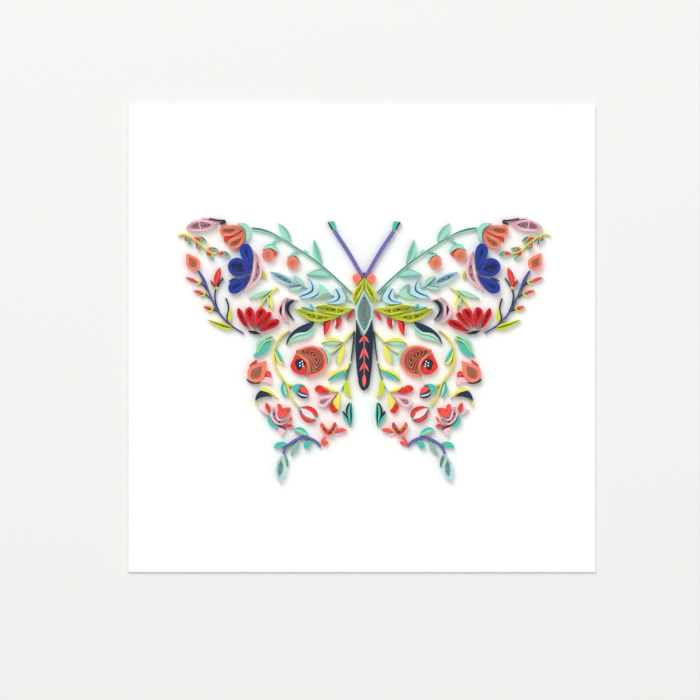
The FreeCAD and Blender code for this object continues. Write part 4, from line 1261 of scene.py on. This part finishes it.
@dataclass(frozen=True)
class ForeWing(Ornament):
    """The fore wing's flowers, buds, vine and blades."""

    berry_strip: float = 0.16
    petal_strip: float = 0.19
    broad_strip: float = 0.2

    def recipes(self) -> dict[str, Recipe]:
        """Give the recipe of each node of the fore wing."""
        return {**self.tip(), **self.vine(), **self.buds(), **self.flowers(), **self.blades()}

    def tip(self) -> dict[str, Recipe]:
        """Dress the wing's tip: pink marquise, sprig with red hearts, and rose.

        Returns:
            A recipe for each node.
        """
        hearts = ((57.8, 32.35), (53.9, 32.4), (54.45, 30.35), (50.0, 29.35), (50.45, 27.3), (46.4, 27.65))
        curl = bands(Dye.PINK, Dye.PINK, along=((0.3, Dye.BURGUNDY), (0.66, Dye.NAVY)), start=(53.2, 39.1))
        return {
            "tip_bud": Recipe(
                "pink_paper",
                coil=Coil(dye=Dye.PINK, shaded_inner_dye=Dye.MAUVE, shaded_inner_from=0.62, rim_share=0.4, split=Dye.PINK),
                stem=plain(Dye.NAVY, 2),
                at=(((49.5, 38.85), curl),),
            ),
            "tip_sprig": Recipe(
                "mint_paper",
                leaf=Hem(dye=Dye.MINT),
                stem=plain(Dye.STRAW, 2),
                at=tuple((spot, plain(Dye.RED)) for spot in hearts),
            ),
            "rose": Recipe(
                "coral_paper",
                coil=Coil(dye=Dye.CORAL, shaded_inner_dye=Dye.BRICK),
                leaf=plain(Dye.MINT, 5),
                at=(((44.6, 32.5), bands(Dye.RED, Dye.RED, Dye.CRIMSON)),),
            ),
        }

    def vine(self) -> dict[str, Recipe]:
        """Dress the vine along the front edge with its berries and leaves."""
        mint = Dye.MINT
        return {
            "berries": Recipe(
                "coral_paper",
                coil=Coil(dye=Dye.CORAL, shaded_inner_dye=Dye.BRICK, shaded_inner_from=0.72, rim_share=0.6,
                          strip=self.berry_strip, loose_pitch=0.24),
                leaf=plain(mint, 2),
                at=(
                    ((28.8, 27.7), plain(Dye.RED, 2)),
                    ((30.5, 30.1), bands(Dye.TEAL, mint, mint, mint, beside=(30.5, 31.5))),
                ),
            ),
            "vine": Recipe(
                "mint_paper",
                # The teal strip along one side of the mint stem is painted shade of the vine's shadow side
                stem=bands(Dye.TEAL, mint),
                leaf=plain(mint, 4),
                at=(
                    ((20.0, 28.2), bands(Dye.PALE_MINT, Dye.DEEP_TEAL, mint, beside=(19.0, 30.0))),
                    ((25.9, 34.5), bands(mint, mint, mint, Dye.TEAL, Dye.SAGE, beside=(28.5, 34.0))),
                    ((15.2, 28.0), bands(mint, mint, Dye.TEAL, Dye.SAGE, beside=(18.0, 28.0))),
                    ((14.5, 21.2), bands(Dye.SAGE, mint, mint, Dye.TEAL, beside=(14.5, 24.0))),
                ),
            ),
        }

    def buds(self) -> dict[str, Recipe]:
        """Dress the bud branch, its red buds and the coral teardrops of both wings."""
        return {
            "coral_drops": Recipe(
                "coral_paper",
                coil=Coil(dye=Dye.CORAL, shaded_inner_dye=Dye.BRICK, shaded_inner_from=0.62, rim_share=0.4),
                leaf=plain(Dye.RED),
                at=(
                    ((36.6, -8.3), plain(Dye.RED, 2)),
                    ((36.8, -14.5), plain(Dye.PINE, 1)),
                    ((31.3, -11.5), bands(Dye.RED, Dye.SCARLET, Dye.RED)),
                    ((31.5, -13.8), plain(Dye.PINK, 5)),
                ),
            ),
            "red_buds": Recipe(
                "red_paper",
                leaf=bands(Dye.RED, Dye.SCARLET, Dye.CRIMSON),
                stem=plain(Dye.STRAW, 1),
                at=(
                    ((48.0, 19.8), bands(Dye.CRIMSON, Dye.RED, Dye.SCARLET, Dye.RED, beside=(50.0, 19.5))),
                    ((49.5, 18.0), bands(Dye.BURGUNDY, Dye.RED, beside=(51.0, 18.0))),
                ),
            ),
            "bud_branch": Recipe(
                "indigo_paper",
                stem=plain(Dye.INK, 1),
                at=(
                    ((51.3, 17.0), plain(Dye.INDIGO, 2)),
                    ((48.6, 13.5), plain(Dye.NAVY, 1)),
                    ((44.3, 9.5), plain(Dye.NAVY, 1)),
                ),
            ),
        }

    def flowers(self) -> dict[str, Recipe]:
        """Dress blue flower, sepals, sky buds, poppy and the sprig between them.

        Returns:
            A recipe for each node.
        """
        middle_petal = Coil(dye=Dye.BLUE, shaded_inner_dye=Dye.COBALT, shaded_inner_from=0.56, rim_share=0.42,
                            strip=self.broad_strip, loose_pitch=0.5)
        veined = (Dye.SKY, Dye.SKY, Dye.SKY, Dye.SLATE, Dye.SKY, Dye.SKY)
        return {
            "blue_flower": Recipe(
                "blue_paper",
                coil=Coil(dye=Dye.BLUE, shaded_inner_dye=Dye.COBALT, shaded_inner_from=0.3, rim_share=0.66,
                          strip=self.petal_strip, loose_pitch=0.3),
                leaf=plain(Dye.PINE, 2),
                at=(((42.5, 23.5), middle_petal),),
            ),
            "sepals": Recipe(
                "pink_paper",
                coil=Coil(dye=Dye.PINK, shaded_inner_dye=Dye.MAUVE, rim_share=0.5),
                leaf=plain(Dye.GOLD),
                stem=plain(Dye.PINK, 1),
                at=(
                    ((25.0, 9.5), bands(Dye.NAVY, Dye.INK, Dye.NAVY)),
                    ((27.4, 9.5), Coil(dye=Dye.PINK, shaded_inner_dye=Dye.BURGUNDY, shaded_inner_from=0.35, rim_share=0.62)),
                ),
            ),
            "sky_buds": Recipe(
                "sky_paper",
                coil=Coil(dye=Dye.SKY, shaded_inner_dye=Dye.STEEL, rim_share=0.42),
                leaf=bands(Dye.MINT, Dye.MINT, Dye.SAGE),
                stem=plain(Dye.SAGE, 1),
                at=(
                    ((16.5, 16.2), bands(*veined, tips=((18.3, 19.6), (21.3, 13.4)), beside=(13.0, 15.0))),
                    ((8.0, 13.2), bands(*veined, tips=((9.5, 16.1), (12.2, 11.9)), beside=(5.0, 12.5))),
                ),
            ),
            "poppy": Recipe(
                "red_paper",
                coil=Coil(dye=Dye.POPPY, shaded_inner_dye=Dye.GARNET, shaded_inner_from=0.45, rim_share=0.55,
                          strip=self.petal_strip, loose_pitch=0.4),
                leaf=plain(Dye.INK),
            ),
            "fore_sprig": Recipe(
                "lime_paper",
                leaf=bands(Dye.MINT, Dye.PALE_LIME, Dye.MINT),
                stem=plain(Dye.STRAW, 2),
                at=(((30.3, 11.7), plain(Dye.YELLOW)), ((31.4, 12.2), plain(Dye.MINT, 2))),
            ),
        }

    def blades(self) -> dict[str, Recipe]:
        """Dress the lime blades and the red teeth below them."""
        return {
            "lime_blades": Recipe(
                "lime_paper",
                coil=Coil(dye=Dye.LIME, shaded_inner_dye=Dye.FERN, shaded_inner_from=0.45, rim_share=0.5, loose_pitch=0.4,
                          split=Dye.LIME),
                leaf=plain(Dye.LIME, 2),
                at=(
                    ((47.5, 4.6), bands(Dye.LIME, Dye.LIME, Dye.OLIVE, Dye.LIME, Dye.LIME)),
                    ((18.6, 9.9), plain(Dye.TEAL, 2)),
                    ((17.4, 10.7), plain(Dye.TEAL, 2)),
                ),
            ),
            "red_teeth": Recipe(
                "red_paper",
                leaf=bands(Dye.OXBLOOD, Dye.RED, Dye.RED, Dye.RED, beside=(20.0, 8.0)),
                at=(((13.4, 2.8), plain(Dye.PINK, 1)), ((9.6, 4.9), plain(Dye.PINK, 1))),
            ),
        }


@dataclass(frozen=True)
class HindWing(Ornament):
    """The hind wing's sprig, leaves, flowers and tail."""

    dot_radius: float = 0.24
    dots: tuple[Spot, ...] = ((20.2, -7.5), (20.9, -8.0), (20.0, -8.4), (20.9, -8.9), (19.9, -9.1))
    cup_strip: float = 0.19
    petal_strip: float = 0.2

    def recipes(self) -> dict[str, Recipe]:
        """Give the recipe of each node of the hind wing."""
        return {**self.greens(), **self.pomegranate(), **self.flowers(), **self.tail()}

    def petal(self, dye: Dye, tips: Optional[tuple[Spot, Spot]] = None) -> Coil:
        """Roll a petal tightly from one dye."""
        return Coil(dye=dye, strip=self.petal_strip, rim_share=1.0, tips=tips)

    def greens(self) -> dict[str, Recipe]:
        """Dress sprig, leaves and vine.

        Returns:
            A recipe for each node.
        """
        border = bands(Dye.PINE, along=((0.5, Dye.DEEP_TEAL), (0.8, Dye.PALE_MINT)), start=(3.2, 2.4))
        lined = bands(Dye.PALE_MINT, Dye.MINT, Dye.DEEP_TEAL, Dye.MINT, Dye.MINT, Dye.MINT,
                      beside=(21.0, 3.0))
        return {
            "hind_sprig": Recipe(
                "lime_paper",
                leaf=plain(Dye.YELLOW),
                stem=plain(Dye.STRAW, 2),
                at=(
                    ((10.3, -1.6), plain(Dye.MINT)),
                    ((9.1, -6.0), plain(Dye.MINT, 2)),
                    ((8.5, -12.2), plain(Dye.TEAL)),
                    ((5.7, -16.2), plain(Dye.LIME)),
                    ((4.0, -5.2), border),
                ),
            ),
            "hind_leaves": Recipe(
                "teal_paper",
                leaf=plain(Dye.TEAL),
                at=(
                    ((21.0, 3.0), bands(Dye.INK, Dye.NAVY, Dye.DENIM, Dye.NAVY)),
                    ((19.5, 0.7), lined),
                    ((31.8, -0.95), plain(Dye.PALE_LIME, 2)),
                    ((33.6, -0.7), bands(Dye.MINT, Dye.MINT, Dye.SAGE)),
                    ((28.3, -7.4), plain(Dye.YELLOW, 2)),
                    ((25.8, -17.0), plain(Dye.MINT, 2)),
                    ((33.2, -18.3), bands(Dye.INK, Dye.DENIM, Dye.NAVY, Dye.NAVY)),
                    ((31.5, -16.8), plain(Dye.YELLOW, 2)),
                    ((35.2, -21.2), plain(Dye.STRAW, 1)),
                    ((5.5, -22.4), plain(Dye.INK, 1)),
                    ((4.5, -24.5), bands(Dye.TEAL, Dye.AQUA_BLUE, Dye.PINE, Dye.TEAL, beside=(7.0, -24.5))),
                    ((6.1, -24.8), plain(Dye.INK, 1)),
                    ((6.3, -26.1), plain(Dye.TEAL, 2)),
                ),
            ),
            "hind_vine": Recipe("lime_paper", stem=plain(Dye.STRAW, 2)),
        }

    def pomegranate(self) -> dict[str, Recipe]:
        """Dress the large coral coil round its dotted heart."""
        return {
            "pomegranate": Recipe(
                "coral_paper",
                coil=Coil(dye=Dye.CORAL, shaded_inner_dye=Dye.RUSSET, shaded_inner_from=0.74, rim_share=0.26, loose_pitch=0.62,
                          loose_strip=0.37, strip=self.cup_strip, tips=((22.1, -3.8), (19.2, -12.8))),
                leaf=Slats(dyes=(Dye.RED,)),
                at=(((21.0, -8.3), self.petal(Dye.NAVY)), ((12.0, -5.0), plain(Dye.MINT))),
                accents=tuple(Accent(Dye.SNOW, self.dot_radius, ring(spot, self.dot_radius / 2))
                              for spot in self.dots),
            ),
        }

    def flowers(self) -> dict[str, Recipe]:
        """Dress tulip and bud, trumpet, lotus and orchid.

        Returns:
            A recipe for each node.
        """
        reds, inked = (Dye.CRIMSON, Dye.RED, Dye.SCARLET), ((0.88, Dye.INK),)
        return {
            "tulip": Recipe(
                "red_paper",
                leaf=plain(Dye.RED),
                at=(
                    ((19.7, -16.8), plain(Dye.SCARLET, 5)),
                    ((20.0, -18.7), bands(Dye.INK, Dye.NAVY, Dye.PEARL, Dye.INK)),
                    ((22.5, -16.0), plain(Dye.TEAL, 4)),
                    ((17.4, -23.0), bands(*reds, along=inked, start=(20.2, -22.4), beside=(16.0, -22.0))),
                    ((18.8, -26.5), bands(*reds, along=inked, start=(21.0, -23.9), beside=(19.0, -28.0))),
                    ((18.3, -24.6), bands(Dye.PINK, Dye.CREAM, Dye.PINK, Dye.CREAM, Dye.PINK)),
                    ((21.0, -22.9), plain(Dye.SAGE, 2)),
                ),
            ),
            "trumpet": Recipe(
                "pink_paper",
                coil=Coil(dye=Dye.PINK, shaded_inner_dye=Dye.MAUVE, rim_share=0.55, loose_pitch=0.34),
                leaf=plain(Dye.YELLOW),
                at=(((14.0, -16.7), self.petal(Dye.RED)), ((10.0, -22.8), self.petal(Dye.RED))),
            ),
            "lotus": Recipe(
                "pink_paper",
                coil=Coil(dye=Dye.PINK, shaded_inner_dye=Dye.MAUVE, rim_share=0.5, tips=((29.6, -21.9), (24.2, -25.9))),
                leaf=plain(Dye.RED),
                at=(
                    ((26.3, -24.0), self.petal(Dye.SCARLET, ((23.8, -22.6), (27.9, -25.6)))),
                    ((32.5, -24.1), bands(Dye.PINK, Dye.PINK, Dye.MAUVE, beside=(33.0, -22.8))),
                    ((30.6, -27.4), plain(Dye.TEAL)),
                    ((26.7, -29.1), plain(Dye.BURGUNDY, 1)),
                    ((26.9, -30.5), plain(Dye.PINK, 5)),
                ),
            ),
            "orchid": Recipe(
                "coral_paper",
                coil=Coil(dye=Dye.CORAL, shaded_inner_dye=Dye.RUSSET, tips=((13.6, -27.0), (9.9, -26.7))),
                leaf=plain(Dye.SCARLET, 4),
                stem=plain(Dye.PINK, 1),
                at=(((13.4, -33.4), plain(Dye.SCARLET, 2)),),
            ),
        }

    def tail(self) -> dict[str, Recipe]:
        """Dress the tail's stem, leaves and last marquise."""
        return {
            "tail_spray": Recipe(
                "teal_paper",
                coil=Coil(dye=Dye.AQUA, shaded_inner_dye=Dye.STEEL, rim_share=0.42),
                leaf=plain(Dye.TEAL, 4),
                stem=plain(Dye.DEEP_TEAL, 1),
                at=(
                    ((20.0, -32.5), bands(Dye.INDIGO, Dye.LILAC, Dye.INDIGO)),
                    ((20.6, -30.3), bands(Dye.TEAL, Dye.TEAL, Dye.MINT, Dye.SAGE, beside=(20.0, -28.0))),
                    ((22.6, -35.6), plain(Dye.SAGE, 4)),
                ),
            ),
        }


@dataclass(frozen=True)
class Card:
    """The folded card, which keeps its CAD node."""

    node: str = "card"
    stock: CardStock = CardStock()

    def build(self) -> None:
        """Dress the card in its stock."""
        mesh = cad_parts[self.node].data
        mesh.materials.clear()
        mesh.materials.append(self.stock.material())
        LOG.info("%s: kept, dressed in white card stock", self.node)


# Studio

@dataclass(frozen=True)
class Lamp:
    """A square soft lamp that faces the card: its place and side in metres, its power in watts."""

    name: str
    place: Place
    side: float
    power: float

    def build(self) -> None:
        """Hang the lamp."""
        light = bpy.data.lights.new(self.name, "AREA")
        light.size = self.side
        light.energy = self.power
        lamp = bpy.data.objects.new(self.name, light)
        lamp.location = self.place
        lamp.rotation_euler = Vector(self.place).to_track_quat("Z", "Y").to_euler()
        bpy.context.scene.collection.objects.link(lamp)


@dataclass(frozen=True)
class Studio:
    """Pale floor, soft light from above, and a camera that looks straight down."""

    frame_mm: float = 228.3
    view_mm: Spot = (-3.8, -3.8)
    height_mm: float = 1300.0
    sensor_mm: float = 36.0
    nearest: float = 0.01
    floor_side: float = 4.0
    floor_colour: str = "#ECEBE9"
    floor_roughness: float = 0.9
    room_light: float = 0.47
    lamps: tuple[Lamp, ...] = (
        Lamp("key", (-0.45, 0.95, 1.60), 1.1, 21.0),
        Lamp("fill", (0.80, -0.20, 1.60), 1.5, 7.5),
    )

    def build(self) -> None:
        """Set up the floor, lamps, world and camera."""
        self.floor()
        for lamp in self.lamps:
            lamp.build()
        world = bpy.data.worlds.new("soft_room")
        world.use_nodes = True
        sky = world.node_tree.nodes["Background"].inputs
        sky["Color"].default_value = (1.0, 1.0, 1.0, 1.0)
        sky["Strength"].default_value = self.room_light
        bpy.context.scene.world = world
        bpy.context.scene.view_settings.view_transform = "Standard"
        self.camera()

    def floor(self) -> None:
        """Lay the floor under the card."""
        reach = self.floor_side / 2
        mesh = bpy.data.meshes.new("floor")
        mesh.from_pydata([(-reach, -reach, 0), (reach, -reach, 0), (reach, reach, 0), (-reach, reach, 0)], [],
                         [(0, 1, 2, 3)])
        floor = bpy.data.objects.new("floor", mesh)
        bpy.context.scene.collection.objects.link(floor)
        material = bpy.data.materials.new("pale_floor")
        material.use_nodes = True
        shader = material.node_tree.nodes["Principled BSDF"]
        shader.inputs["Base Color"].default_value = linear(self.floor_colour)
        shader.inputs["Roughness"].default_value = self.floor_roughness
        mesh.materials.append(material)

    def camera(self) -> None:
        """Aim the camera straight down at the photograph's centre."""
        camera = bpy.data.cameras.new("camera")
        camera.sensor_width = self.sensor_mm
        camera.lens = self.sensor_mm * self.height_mm / self.frame_mm
        camera.clip_start = self.nearest
        looker = bpy.data.objects.new("camera", camera)
        looker.location = (self.view_mm[0] * MM, self.view_mm[1] * MM, (self.height_mm + CARD_FACE) * MM)
        bpy.context.scene.collection.objects.link(looker)
        bpy.context.scene.camera = looker


def main() -> None:
    """Build everything in order."""
    logging.basicConfig(level=logging.INFO, format="%(message)s")
    Studio().build()
    Card().build()
    worker = PaperWorker()
    for part in (Body(), Head(), ForeWing(), HindWing()):
        part.build(worker)


if __name__ == "__main__":
    main()
